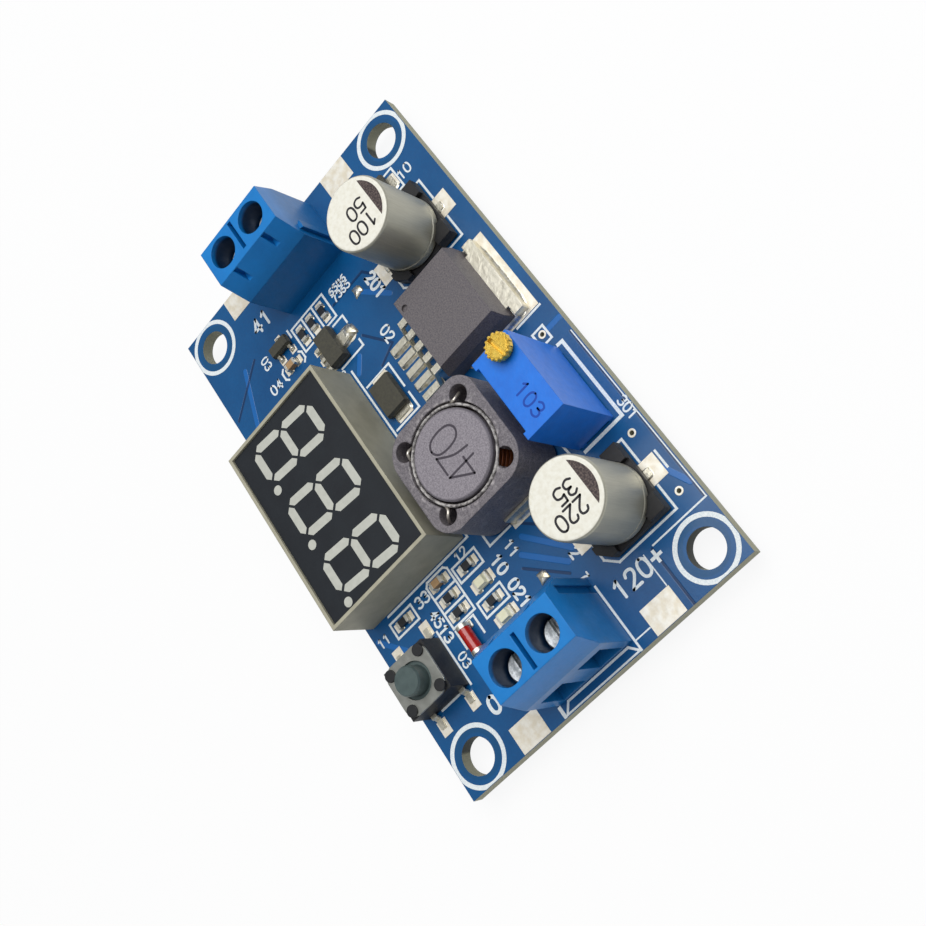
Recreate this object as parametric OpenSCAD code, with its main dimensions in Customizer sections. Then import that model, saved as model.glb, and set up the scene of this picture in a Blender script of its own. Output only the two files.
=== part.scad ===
// Adjustable step-down voltage converter module with a three-digit meter.
//
// A populated circuit board: a two-way screw terminal at each end, two aluminium
// capacitors, a power regulator with a soldered tab, a shielded inductor, a multi-turn
// trimmer, a numeric display, a push button and small surface-mounted parts.
//
// Frame: +X towards the output terminal, +Y towards the capacitors, +Z up. The origin
// lies under the middle of the board, level with the tips of the pins. Millimetres.

/* [Board] */
// Length of the board, from the input end to the output end
board_l = 66; // [64:0.5:72]
// Width of the board
board_w = 39; // [38.5:0.5:44]
// Thickness of the board
board_t = 1.6; // [1:0.1:2.4]
// From a mounting hole's centre to the end of the board
hole_inset_x = 3.2; // [3:0.05:3.6]
// From a mounting hole's centre to the long edge of the board
hole_inset_y = 3.3; // [3:0.05:3.6]
// Diameter of a mounting hole
mount_hole_d = 4; // [3:0.1:4.2]
// How far the pins reach below the board
pin_drop = 1.8; // [1.6:0.1:3]
// Length of a bare test land, along the board
edge_land_l = 3; // [2:0.1:3.5]
// Width of a bare test land
edge_land_w = 3.9; // [3:0.1:4.2]
// From the middle of the board to a test land, across the board
edge_land_y = 9.4; // [8.5:0.1:9.8]
// Thickness of the tinned copper lands
land_t = 0.05; // [0.03:0.01:0.1]
// Thickness of the white printed lines
ink_t = 0.03; // [0.02:0.01:0.05]
// Width of the white printed lines
ink_w = 0.25; // [0.1:0.05:0.3]
// Width of the white ring round a mounting hole
ring_w = 0.5; // [0.2:0.05:0.6]
// Inner radius of the white ring round a mounting hole
ring_r = 2.9; // [2.6:0.05:3]

/* [Screw terminals] */
// Distance between the two wire positions
term_pitch = 5.08; // [5:0.01:5.6]
// From a screw's axis to the nearer end of the block
term_end = 2.54; // [2.4:0.02:3]
// From the screws' axes forward to the wire entry face
term_front = 3.3; // [3.2:0.1:4]
// From the screws' axes back to the rear face
term_back = 4.38; // [4.2:0.02:4.8]
// Height of a terminal block
term_h = 10; // [9.6:0.1:12]
// Height at which the sloping shoulders start
term_shoulder_h = 6.55; // [6.3:0.05:7]
// Width of the front shoulder
term_front_slope = 1; // [0.5:0.1:1.2]
// Width of the rear shoulder
term_back_slope = 1.69; // [1:0.01:2]
// Diameter of a screwdriver well
term_well_d = 3.6; // [3.5:0.05:3.8]
// Width of a wire entry
entry_w = 3; // [2.6:0.1:3.2]
// Height of a wire entry's sill above the board
entry_sill_h = 0.6; // [0.4:0.1:1]
// Height of a wire entry's upper edge above the board
entry_top_h = 5.2; // [4.6:0.1:5.6]
// From the wire entry face of the input block to the end of the board
input_inset = 1.05; // [0.5:0.05:1.5]
// From the wire entry face of the output block to the end of the board
output_inset = 1.39; // [0.5:0.01:1.5]
// Place of both terminal blocks across the board
term_y = -0.2; // [-0.3:0.05:0.3]
// Diameter of a clamp screw's head
screw_head_d = 3.3; // [3:0.05:3.35]
// Height of a clamp screw's head
screw_head_h = 0.8; // [0.6:0.05:0.85]
// Diameter of a clamp screw's thread
screw_d = 2.4; // [2:0.1:2.5]
// Height of a clamp screw's top above the board
screw_top_h = 7; // [7:0.1:8]
// How far a clamp rises when its screw is tightened
clamp_travel = 1.7; // [1:0.1:1.7]
// Width of a clamp, across the wire
clamp_w = 3.5; // [3.3:0.05:3.6]
// Length of a clamp, along the wire
clamp_l = 2.9; // [2.4:0.1:2.9]
// Wall of a clamp
clamp_wall = 0.5; // [0.3:0.05:0.5]
// Height of the clamp's threaded top wall
clamp_top_t = 0.7; // [0.5:0.05:0.7]
// Thickness of the contact bar
bar_t = 0.5; // [0.4:0.05:0.6]

/* [Capacitors] */
// Diameter of a capacitor can
cap_d = 8; // [6.3:0.1:8.2]
// Height of a can's top above the board
cap_h = 10.05; // [8:0.05:12]
// Side of a capacitor's square base
cap_base_w = 8.3; // [8.3:0.05:8.6]
// Thickness of a capacitor's base
cap_base_t = 0.75; // [0.6:0.05:1]
// Thickness of a capacitor's leads
cap_lead_t = 0.2; // [0.15:0.05:0.3]
// Distance from a capacitor's middle to the cut of its dark polarity mark
cap_mark_cut = 2.2; // [1.5:0.1:2.8]
// From the input capacitor to the input end of the board
input_cap_inset = 15.2; // [14.6:0.1:16]
// From the output capacitor to the output end of the board
output_cap_inset = 12.4; // [11.5:0.1:12.8]
// From the capacitors to the upper long edge of the board
cap_inset_y = 7.4; // [7.2:0.1:8]

/* [Power regulator] */
// Width of the regulator's body where its halves part
reg_w = 10.2; // [9.6:0.1:10.4]
// Length of the regulator's body, leads side to tab side
reg_l = 8.9; // [8.4:0.1:9.2]
// Height of the regulator's top above the board
reg_h = 4.45; // [4:0.05:4.8]
// Thickness of the regulator's tab
reg_tab_t = 1.27; // [1:0.01:1.5]
// How far the tab reaches past the body
reg_tab_reach = 1.65; // [1:0.05:1.8]
// How far the regulator's leads reach in front of the body
reg_foot_reach = 4.6; // [4.2:0.05:5]
// Distance between two regulator leads
reg_pitch = 1.7; // [1.5:0.01:1.8]
// Width of a regulator lead
reg_lead_w = 0.8; // [0.6:0.05:0.95]
// From the regulator's tab end to the upper long edge of the board
reg_inset_y = 2.03; // [1.8:0.01:2.4]
// Place of the regulator along the board
reg_x = -6.35; // [-6.8:0.05:-6]

/* [Trimmer] */
// Length of the trimmer, along the board
trim_l = 9.7; // [9.2:0.05:10]
// Width of the trimmer
trim_w = 4.45; // [4.3:0.05:4.7]
// Height of the trimmer's top above the board
trim_h = 10.04; // [9.6:0.02:11]
// Wall of the trimmer's housing
trim_wall = 0.45; // [0.35:0.05:0.5]
// From the adjusting screw's axis to the trimmer's end and side
trim_screw_inset = 1.27; // [1.25:0.01:1.5]
// Diameter of the adjusting screw's head
trim_head_d = 2.6; // [2:0.1:2.7]
// Height of the adjusting screw's head
trim_head_h = 1.25; // [1:0.05:1.6]
// Diameter of the trimmer's worm wheel
wheel_d = 6.4; // [6:0.1:6.5]
// Distance between the trimmer's pins
trim_pin_pitch = 2.54; // [2.5:0.01:2.6]
// Place of the trimmer along the board
trim_x = 9.1; // [9:0.05:9.4]
// From the trimmer's middle to the upper long edge of the board
trim_inset_y = 4.57; // [4.4:0.01:4.8]

/* [Inductor] */
// Side of the inductor's square shield
choke_w = 12.3; // [12:0.1:12.4]
// Height of the inductor
choke_h = 8; // [6:0.1:8.5]
// Diameter of the drum's round flanges
drum_d = 9.2; // [9:0.1:9.6]
// Thickness of a drum flange
drum_flange_t = 1.3; // [1:0.1:1.6]
// Diameter of the drum's middle
drum_core_d = 4.5; // [3.5:0.1:5]
// Gap between the drum and the shield
drum_gap = 0.7; // [0.3:0.05:0.8]
// Place of the inductor along the board
choke_x = 8.1; // [8:0.05:8.2]
// Place of the inductor across the board
choke_y = 4.45; // [4.3:0.05:4.5]

/* [Display] */
// Length of the display's shell
disp_l = 24; // [23.8:0.1:24.2]
// Width of the display's shell
disp_w = 15.2; // [15:0.1:15.3]
// Height of the display's rim above the board
disp_h = 6.7; // [6:0.1:8]
// Width of the display's rim
disp_rim = 0.4; // [0.3:0.05:0.45]
// Depth of the black face below the rim
disp_recess = 0.25; // [0.15:0.05:1.4]
// Height of a digit
digit_h = 9.7; // [9:0.1:9.8]
// Width of a digit
digit_w = 5.2; // [5:0.1:5.4]
// Width of a lit segment
segment_w = 1; // [0.8:0.05:1.1]
// Distance between two digits
digit_pitch = 7.75; // [7.5:0.01:7.8]
// Forward lean of the digits, in degrees
digit_lean = 6; // [0:1:10]
// Distance between the display's two rows of pins
disp_row_gap = 10.16; // [10:0.02:12.8]
// Place of the display along the board
disp_x = -0.5; // [-0.6:0.05:-0.4]
// From the display's middle to the lower long edge of the board
disp_inset_y = 8.5; // [8.4:0.05:8.6]

/* [Push button] */
// Side of the switch's square body
switch_w = 6; // [5.8:0.1:6.2]
// Height of the switch's cover above the board
switch_h = 3.6; // [3.3:0.05:4]
// Diameter of the button
button_d = 3.2; // [3:0.1:3.5]
// Height of the button above the board
button_h = 5.2; // [4.4:0.05:7]
// Diameter of the hole in the switch's cover
button_hole_d = 4; // [3.9:0.05:4.1]
// How far the button travels
button_travel = 0.25; // [0.15:0.01:0.3]
// From the switch to the output end of the board
switch_inset = 12.45; // [12.1:0.05:12.6]
// From the switch to the lower long edge of the board
switch_inset_y = 4.1; // [3.9:0.05:4.3]

/* [Small parts] */
// Length of a chip resistor or capacitor
chip_l = 1.6; // [1.5:0.05:1.7]
// Width of a chip resistor or capacitor
chip_w = 0.8; // [0.7:0.05:0.85]
// Height of a chip resistor
resistor_h = 0.45; // [0.35:0.05:0.6]
// Height of a chip capacitor
chip_cap_h = 0.8; // [0.6:0.05:0.9]
// Length of the metal end of a chip
chip_end_l = 0.3; // [0.2:0.05:0.4]
// Length of an indicator light
led_l = 2; // [1.8:0.1:2.2]
// Width of an indicator light
led_w = 1.25; // [1.1:0.05:1.3]
// Diameter of the glass diode
glass_d = 1.5; // [1.3:0.05:1.6]
// Length of the glass diode with its caps
glass_l = 3.5; // [3.2:0.1:3.6]
// Length of a rectifier diode's body
diode_l = 4.3; // [4:0.1:4.5]
// Height of a rectifier diode
diode_h = 1.2; // [1:0.05:1.4]
// Side of the display driver chip under the board, along its leads
driver_l = 6.5; // [6:0.1:7]

/* [Hidden] */
$fn = 48;

// Levels
board_top = pin_drop + board_t;
cut = 0.5;              // how far a cutting shape runs past the face it opens
standoff = 0.1;         // gap under small plastic bodies
slack = 0.05;           // gap beside a moving fit

// Places that keep to the ends and edges of the board
half_l = board_l / 2;
half_w = board_w / 2;
hole_x = half_l - hole_inset_x;
hole_y = half_w - hole_inset_y;
input_term_x = -half_l + input_inset + term_front;
output_term_x = half_l - output_inset - term_front;

// The layout below is drawn for this board, and spreads or closes up with board_l and board_w
drawn_l = 66;
drawn_w = 39;
spread_x = board_l / drawn_l;
spread_y = board_w / drawn_w;
input_cap_x = spread_x * (input_cap_inset - drawn_l / 2);
output_cap_x = spread_x * (drawn_l / 2 - output_cap_inset);
input_cap_y = spread_y * (drawn_w / 2 - cap_inset_y + 0.2);
output_cap_y = spread_y * (drawn_w / 2 - cap_inset_y - 0.2);
input_cap_spot = [input_cap_x, input_cap_y, 0];
output_cap_spot = [output_cap_x, output_cap_y, 0];
regulator_x = spread_x * reg_x;
reg_depth = reg_tab_reach + reg_l + reg_foot_reach;
reg_tab_y = spread_y * (drawn_w / 2 - reg_inset_y - reg_depth / 2) + reg_depth / 2;
reg_back_y = reg_tab_y - reg_tab_reach;
reg_front_y = reg_back_y - reg_l;
trimmer_x = spread_x * trim_x;
trimmer_y = spread_y * (drawn_w / 2 - trim_inset_y);
inductor_x = spread_x * choke_x;
inductor_y = spread_y * choke_y;
display_x = spread_x * disp_x;
display_y = spread_y * (disp_inset_y - drawn_w / 2);
switch_x = spread_x * (drawn_l / 2 - switch_inset);
switch_y = spread_y * (switch_inset_y - drawn_w / 2);

// Small parts keep their share of the room between the terminals and the display
x_map = [
    [-drawn_l / 2, -half_l], [-24.27, input_term_x + term_back],
    [-12.5, display_x - disp_l / 2], [11.5, display_x + disp_l / 2],
    [23.93, output_term_x - term_back], [drawn_l / 2, half_l]
];
function placed(p) = [lookup(p[0], x_map), spread_y * p[1]];
function all_placed(spots) = [for (s = spots) [lookup(s[0], x_map), spread_y * s[1], s[2], s[3]]];

// Small parts as drawn: [x, y, turn about Z]; a rectifier diode's last value is its width
resistor_spots = all_placed([
    [14.05, -4.9, 90], [18.8, -4.75, 90], [15.2, -8.7, 90], [17.1, -8.7, 90],
    [13.5, -14.85, 90], [-20.8, -1.7, 0], [-20.8, -3.6, 0], [-20.8, -5.4, 0]
]);
chip_cap_spots = all_placed([[13.2, -8.75, 90], [-19.1, -8.6, 90]]);
led_spots = all_placed([[16.55, -4.5, 90], [21, -4.45, 90]]);
small_spots = all_placed([[-16.15, -3, 0], [-21.9, -8.45, 0], [20.45, -9, 0]]);
supply_reg_spot = small_spots[0];
transistor_spot = small_spots[1];
glass_spot = small_spots[2];
diode_spots = [
    [spread_x * -6.4, spread_y * -0.7, 0, 3.1],
    [spread_x * (8.15 - drawn_l / 2), spread_y * (drawn_w / 2 - 7.65), 90, 2.6]
];
driver_spot = [display_x - disp_l * 0.22, display_y];

// Terminal blocks, in a block's own frame: X towards the wire entry, Y across, Z from the board
bar_top_h = screw_top_h - screw_head_h - slack - clamp_travel - clamp_top_t - 2 * slack;
bar_w = clamp_w - 2 * clamp_wall - 4 * slack;
bar_reach = clamp_l / 2;
contact_leg_x = -clamp_l / 2 - 0.8;
contact_pin_w = 0.8;
term_pin_hole_d = 1.4;
chamber_x0 = contact_leg_x - bar_t / 2 - 0.15;
chamber_x1 = clamp_l / 2 + 0.15;
chamber_w = clamp_w + 0.3;
chamber_h = screw_top_h - screw_head_h + slack;
clamp_top_h = bar_top_h + slack + clamp_top_t;     // top of a clamp when fully open
clamp_floor_h = 0.3;                               // underside of a clamp when fully open
groove_x = -3;

module on_board() {
    translate([0, 0, board_top]) children();
}

module at(spot) {
    on_board() translate([spot[0], spot[1], 0]) rotate([0, 0, spot[2]]) children();
}

module at_input() {
    on_board() translate([input_term_x, term_y, 0]) rotate([0, 0, 180]) children();
}

module at_output() {
    on_board() translate([output_term_x, term_y, 0]) children();
}

// A box centred in X and Y that stands on z
module block(size, z = 0) {
    translate([-size[0] / 2, -size[1] / 2, z]) cube(size);
}

// A rectangle with rounded corners, as exact arcs
module rounded_rect(l, w, r) {
    square([l - 2 * r, w], center = true);
    square([l, w - 2 * r], center = true);
    for (i = [-1, 1], j = [-1, 1])
        translate([i * (l / 2 - r), j * (w / 2 - r)]) circle(r);
}

// An outline drawn in Y and Z, given the width w along X
module across_x(w) {
    translate([-w / 2, 0, 0]) rotate([90, 0, 90]) linear_extrude(w) children();
}

// An outline drawn in X and Z, given the width w along Y
module across_y(w) {
    translate([0, w / 2, 0]) rotate([90, 0, 0]) linear_extrude(w) children();
}

// A moulded body: one outline seen along Y, the other along X, so that all sides taper
module moulded(l, w, h, taper, z = standoff) {
    intersection() {
        across_y(w) tapered_outline(l, h, taper, z);
        across_x(l) tapered_outline(w, h, taper, z);
    }
}

module tapered_outline(l, h, taper, z) {
    mid = (z + h) / 2;
    polygon([
        [-l / 2 + taper, z], [l / 2 - taper, z], [l / 2, mid],
        [l / 2 - taper, h], [-l / 2 + taper, h], [-l / 2, mid]
    ]);
}

// A gull-wing lead along +X: level from x0 to the shoulder at height z, down to the heel,
// and flat on its land as far as the toe; it is t thick and w wide
module gull_lead(x0, shoulder, heel, toe, z, t, w) {
    drop = z - land_t;
    fall = heel - shoulder;
    mitre = t * (norm([fall, drop]) - fall) / drop;
    across_y(w) polygon([
        [x0, z], [shoulder, z], [heel, land_t], [toe, land_t],
        [toe, land_t + t], [heel + mitre, land_t + t], [shoulder + mitre, z + t], [x0, z + t]
    ]);
}

// ---------------------------------------------------------------- through-hole pins

term_pin_spots = [
    for (s = [-1, 1]) [input_term_x - contact_leg_x, term_y + s * term_pitch / 2],
    for (s = [-1, 1]) [output_term_x + contact_leg_x, term_y + s * term_pitch / 2]
];
disp_pin_pitch = 2.54;
disp_pin_d = 0.5;
disp_pin_count = 6;
disp_pin_spots = [
    for (s = [-1, 1], i = [0:disp_pin_count - 1])
        [display_x + (i - (disp_pin_count - 1) / 2) * disp_pin_pitch, display_y + s * disp_row_gap / 2]
];
trim_pin_d = 0.5;
trim_pin_y = trimmer_y - 0.75;
trim_pin_spots = [for (i = [-1:1]) [trimmer_x + i * trim_pin_pitch, trim_pin_y]];
thin_pin_spots = concat(disp_pin_spots, trim_pin_spots);
thin_pin_hole_d = 0.9;
drawn_vias = [[16.45, 17.55], [23.95, 17.6], [20.75, 1.25], [-19, 3.2], [1.95, 16.72]];
via_spots = [for (p = drawn_vias) [spread_x * p[0], spread_y * p[1]]];
via_d = 0.5;

// ---------------------------------------------------------------- board, ink, lands, solder

module circuit_board() {
    color([0.02, 0.30, 0.57])
    difference() {
        block([board_l, board_w, board_t], pin_drop);
        translate([0, 0, pin_drop - cut]) {
            for (i = [-1, 1], j = [-1, 1])
                translate([i * hole_x, j * hole_y, 0]) cylinder(d = mount_hole_d, h = board_t + 2 * cut);
            for (p = term_pin_spots)
                translate(p) cylinder(d = term_pin_hole_d, h = board_t + 2 * cut);
            for (p = thin_pin_spots)
                translate(p) cylinder(d = thin_pin_hole_d, h = board_t + 2 * cut);
            for (p = via_spots)
                translate(p) cylinder(d = via_d, h = board_t + 2 * cut);
        }
    }
}

// Test lands: [end, side, shift across the board]
edge_lands = [[-1, 1, 0], [-1, -1, -0.5], [1, 1, -0.25], [1, -1, -0.25]];

// Lands on top, as rectangles: [x, y, length, width]
cap_land_l = 2.7;
cap_land_w = 3.4;
cap_land_r = 4.3;        // from a capacitor's middle to a land's middle
reg_foot_y = reg_front_y - reg_foot_reach + 1;
reg_land_l = 2.4;
reg_tab_land_w = 9;
choke_land_w = 5.2;
choke_land_l = 2.9;
choke_land_x = choke_w / 2 + 0.75 - choke_land_l / 2;
leg_land_l = 1.8;
leg_span = 9.2;          // between the middles of the switch's lands
leg_pitch = 4.5;
chip_land_gap = 1.9;
chip_land_l = 0.9;

module land(x, y, l, w) {
    translate([x, y]) square([l, w], center = true);
}

module chip_lands(spots, gap, l, w) {
    for (s = spots)
        translate([s[0], s[1]]) rotate(s[2])
            for (e = [-1, 1]) land(e * gap / 2, 0, l, w);
}

module land_plan() {
    for (e = edge_lands)
        land(e[0] * (half_l - 0.05 - edge_land_l / 2), e[1] * edge_land_y + e[2], edge_land_l, edge_land_w);
    for (j = [-1, 1]) {
        land(input_cap_x, input_cap_y + j * cap_land_r, cap_land_l, cap_land_w);
        land(output_cap_x, output_cap_y + j * cap_land_r, cap_land_l, cap_land_w);
    }
    land(regulator_x, reg_tab_y + 1 - reg_tab_land_w / 2, reg_w + 0.8, reg_tab_land_w);
    for (i = [-2:2])
        land(regulator_x + i * reg_pitch, reg_foot_y, reg_lead_w + 0.3, reg_land_l);
    for (i = [-1, 1])
        land(inductor_x + i * choke_land_x, inductor_y, choke_land_l, choke_land_w);
    for (i = [-1, 1], j = [-1, 1])
        land(switch_x + i * leg_span / 2, switch_y + j * leg_pitch / 2, leg_land_l, 1.3);
    chip_lands(resistor_spots, chip_land_gap, chip_land_l, 1);
    chip_lands(chip_cap_spots, chip_land_gap, chip_land_l, 1);
    chip_lands(led_spots, led_l, 1.1, led_w);
    chip_lands([glass_spot], glass_l - 0.3, 0.8, glass_d + 0.1);
    for (s = diode_spots)
        translate([s[0], s[1]]) rotate(s[2])
            for (e = [-1, 1]) land(e * (diode_l / 2 + 0.2), 0, 1.5, s[3] - 0.9);
    translate([supply_reg_spot[0], supply_reg_spot[1]]) {
        land(0, 1.4, 1.8, 1.2);
        translate([0.1, 2.4]) circle(1);
        for (i = [-1:1]) land(i * 1.5, -1.95, 0.8, 1.3);
    }
    translate([transistor_spot[0], transistor_spot[1]]) {
        land(-1.25, 0, 0.9, 0.9);
        for (j = [-1, 1]) land(1.25, j * 0.95, 0.9, 0.9);
    }
}

driver_pitch = 0.65;
driver_pins = 10;        // on each side
driver_w = 4.4;
driver_span = 6.4;

module solder_lands() {
    color([0.86, 0.85, 0.80]) {
        on_board() linear_extrude(land_t)
            difference() {
                land_plan();
                for (p = via_spots) translate(p) circle(d = via_d + 0.1);
            }
        on_board() for (p = via_spots)
            translate(p) land_ring(via_d, 0.9);
        translate([0, 0, pin_drop - land_t]) {
            for (p = term_pin_spots) translate(p) land_ring(term_pin_hole_d, 2.6);
            for (p = thin_pin_spots) translate(p) land_ring(thin_pin_hole_d, 1.6);
            for (i = [0:driver_pins - 1], s = [-1, 1])
                translate([driver_spot[0] + (i - (driver_pins - 1) / 2) * driver_pitch,
                           driver_spot[1] + s * (driver_span / 2 - 0.2), land_t / 2])
                    cube([0.35, 1.3, land_t], center = true);
        }
    }
}

module land_ring(inner_d, outer_d) {
    difference() {
        cylinder(d = outer_d, h = land_t);
        translate([0, 0, -cut]) cylinder(d = inner_d, h = land_t + 2 * cut);
    }
}

// A straight printed line from a to b
module stroke(a, b, w = ink_w) {
    d = b - a;
    translate(a) rotate(atan2(d[1], d[0]))
        translate([-w / 2, -w / 2]) square([norm(d) + w, w]);
}

module stroke_path(points, w = ink_w) {
    for (i = [0:len(points) - 2]) stroke(points[i], points[i + 1], w);
}

module stroke_box(x0, y0, x1, y1) {
    stroke_path([[x0, y0], [x1, y0], [x1, y1], [x0, y1], [x0, y0]]);
}

// Lines among the small parts, drawn as those parts are
module drawn_path(points) {
    stroke_path([for (p = points) placed(p)]);
}

module box_round(spot, l, w) {
    stroke_box(spot[0] - l / 2, spot[1] - w / 2, spot[0] + l / 2, spot[1] + w / 2);
}

cap_box = 4.45;          // half the side of the printed box round a capacitor

module ink_plan() {
    for (i = [-1, 1], j = [-1, 1])
        translate([i * hole_x, j * hole_y])
            difference() {
                circle(ring_r + ring_w);
                circle(ring_r);
            }
    // capacitors, with the two cut corners of their bases
    for (p = [input_cap_spot, output_cap_spot])
        translate(p)
            stroke_path([
                [-cap_box, cap_box], [cap_box, cap_box], [cap_box, -cap_box + 1.2],
                [cap_box - 1.2, -cap_box], [1.2 - cap_box, -cap_box], [-cap_box, -cap_box + 1.2],
                [-cap_box, cap_box]
            ]);
    stroke([output_cap_x - 1.2, output_cap_y + 6.3], [output_cap_x + 0.8, output_cap_y + 6.3]);
    // regulator and trimmer
    stroke([regulator_x + 5.7, reg_tab_y + 1], [regulator_x + 5.7, reg_tab_y - 2.4]);
    stroke_path([[trimmer_x - 5.05, trimmer_y + 2.4], [trimmer_x - 5, trimmer_y + 2.97],
                 [trimmer_x + 5.3, trimmer_y + 2.97], [trimmer_x + 5.3, trimmer_y - 2.2]], 0.38);
    stroke([trimmer_x + 3, trimmer_y - 3.75], [trimmer_x + 4.2, trimmer_y - 3.65]);
    stroke_box(trimmer_x - 7.9, trimmer_y + 0.9, trimmer_x - 6.15, trimmer_y + 2.4);
    // inductor corner
    stroke_path([[inductor_x + 6.2, inductor_y - 2.9], [inductor_x + 6.2, inductor_y - 6],
                 [inductor_x + 4.6, inductor_y - 6]]);
    // display
    stroke_path([[display_x - disp_l / 2, display_y + disp_w / 2 + 0.35],
                 [display_x + disp_l / 2 + 0.25, display_y + disp_w / 2 + 0.35],
                 [display_x + disp_l / 2 + 0.25, display_y - disp_w / 2 + 2.4]]);
    // push button
    stroke([switch_x - 3.6, switch_y + 3.15], [switch_x + 3.1, switch_y + 3.15]);
    stroke([switch_x + 3.1, switch_y - 1.4], [switch_x + 3.1, switch_y + 1.3]);
    // small parts by the push button
    for (i = [0, 1, 4]) box_round(resistor_spots[i], 1.9, 3.5);
    for (i = [2, 3]) box_round(resistor_spots[i], 1.9, 3.35);
    drawn_path([[14.1, -7.05], [12.6, -7.05], [12.2, -7.45], [12.2, -10], [12.6, -10.4], [14.1, -10.4]]);
    drawn_path([[20.6, -7.6], [18.4, -7.6], [18.4, -10.35], [20.6, -10.35]]);
    // small parts at the input end
    drawn_path([[-22.6, -6.35], [-19.05, -6.35], [-19.05, -0.6], [-22.6, -0.6], [-22.6, -6.35]]);
    for (y = [-2.65, -4.5]) drawn_path([[-22.6, y], [-19.05, y]]);
    drawn_path([[-19.9, -7.15], [-19.55, -6.8], [-18.65, -6.8], [-18.3, -7.15]]);
    drawn_path([[-19.9, -10.15], [-19.55, -10.5], [-18.65, -10.5], [-18.3, -10.15]]);
    drawn_path([[-23, -6.85], [-22, -6.85]]);
    drawn_path([[-18.45, -1.7], [-18.45, 0], [-17.4, 0]]);
    drawn_path([[-13.7, -3.8], [-13.7, 0], [-14.6, 0]]);
    // rectifier diodes
    translate([diode_spots[0][0], diode_spots[0][1]]) {
        stroke_path([[0.2, 1.85], [-3.2, 1.85], [-3.2, -1.9]]);
        stroke_path([[1.2, 1.85], [3.35, 1.85], [3.35, -1.9]]);
    }
    box_round(diode_spots[1], 2.9, 6.5);
    // round the output end
    stroke([4, half_w - 0.2], [half_l - 6.9, half_w - 0.2], 0.13);
    stroke([half_l - 6.9, half_w - 0.2], [half_l - 6.9, half_w - 7.2], 0.18);
    stroke([half_l - 6.8, half_w - 8.55], [half_l - 3, half_w - 8.55], 0.13);
    line_y = term_y + term_pitch / 2 + term_end + 0.2;
    strip_x = output_term_x + term_front + 0.2;
    stroke([half_l - 7.8, line_y], [half_l, line_y]);
    stroke([strip_x, line_y], [strip_x, line_y + 2.1], 0.15);
    stroke_path([[half_l - 0.25, -5.15], [strip_x, -4.3], [strip_x, 4.1], [half_l - 0.25, 4.9]]);
    stroke([half_l - 0.2, -5.3], [half_l - 0.2, line_y], 0.2);
    stroke([strip_x, -5.5], [half_l, -5.5], 0.4);
    translate([half_l - 5.9, output_cap_y]) {
        square([1.4, 0.35], center = true);
        square([0.35, 1.4], center = true);
    }
}

module printed_marks() {
    color("white")
    on_board() linear_extrude(ink_t)
        difference() {
            intersection() {
                ink_plan();
                square([board_l - 0.1, board_w - 0.1], center = true);
            }
            land_clearance();
            standing_plan();
            for (p = via_spots) translate(p) circle(d = 1);
        }
}

// Ink stops just short of every land
module land_clearance() {
    for (d = [[-1, -1], [-1, 1], [1, -1], [1, 1]])
        translate(0.05 * d) land_plan();
}

// What stands flat on the board
module standing_plan() {
    block_size = [term_front + term_back, term_pitch + 2 * term_end + 0.1];
    translate([display_x, display_y]) square([disp_l, disp_w], center = true);
    translate([trimmer_x, trimmer_y]) square([trim_l, trim_w], center = true);
    translate([output_term_x + (term_front - term_back) / 2, term_y]) square(block_size, center = true);
    translate([input_term_x - (term_front - term_back) / 2, term_y]) square(block_size, center = true);
}

solder_h = 0.9;

module solder_cone(p, tip_d, foot_d) {
    translate([p[0], p[1], pin_drop - land_t - solder_h]) cylinder(d1 = tip_d, d2 = foot_d, h = solder_h);
}

module solder_joints() {
    color([0.80, 0.80, 0.78])
    difference() {
        union() {
            for (p = term_pin_spots) solder_cone(p, 1.4, 2.4);
            for (p = thin_pin_spots) solder_cone(p, 0.75, 1.4);
        }
        for (p = term_pin_spots)
            translate([p[0], p[1], -cut]) block([bar_t, contact_pin_w, board_top + cut]);
        for (p = disp_pin_spots)
            translate([p[0], p[1], -cut]) cylinder(d = disp_pin_d, h = board_top + cut);
        for (p = trim_pin_spots)
            translate([p[0], p[1], -cut]) cylinder(d = trim_pin_d, h = board_top + cut);
    }
}

// ---------------------------------------------------------------- screw terminals

module terminal_housing() {
    width = term_pitch + 2 * term_end;
    difference() {
        union() {
            across_y(width) polygon([
                [-term_back, 0], [term_front, 0], [term_front, term_shoulder_h],
                [term_front - term_front_slope, term_h], [-term_back + term_back_slope, term_h],
                [-term_back, term_shoulder_h]
            ]);
            // dovetail rib that joins the next block
            translate([groove_x, -width / 2, 0]) linear_extrude(term_shoulder_h)
                polygon([[-0.35, 0.01], [0.35, 0.01], [0.55, -0.45], [-0.55, -0.45]]);
        }
        translate([groove_x, width / 2, -cut]) linear_extrude(term_shoulder_h + 3 * cut)
            polygon([[-0.45, cut / 10], [0.45, cut / 10], [0.65, -0.5], [-0.65, -0.5]]);
        translate([-2, -0.25, term_h - 2.5]) cube([4, 0.5, 2.5 + cut]);
        for (s = [-1, 1])
            translate([0, s * term_pitch / 2, 0]) {
                cylinder(d = term_well_d, h = term_h + cut);
                translate([chamber_x0, -chamber_w / 2, -cut])
                    cube([chamber_x1 - chamber_x0, chamber_w, chamber_h + cut]);
                translate([0, -entry_w / 2, entry_sill_h])
                    cube([term_front + cut, entry_w, entry_top_h - entry_sill_h]);
                translate([-term_back - cut, -0.32, 8]) cube([1.88 + cut, 0.64, 1.88]);
            }
    }
}

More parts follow.
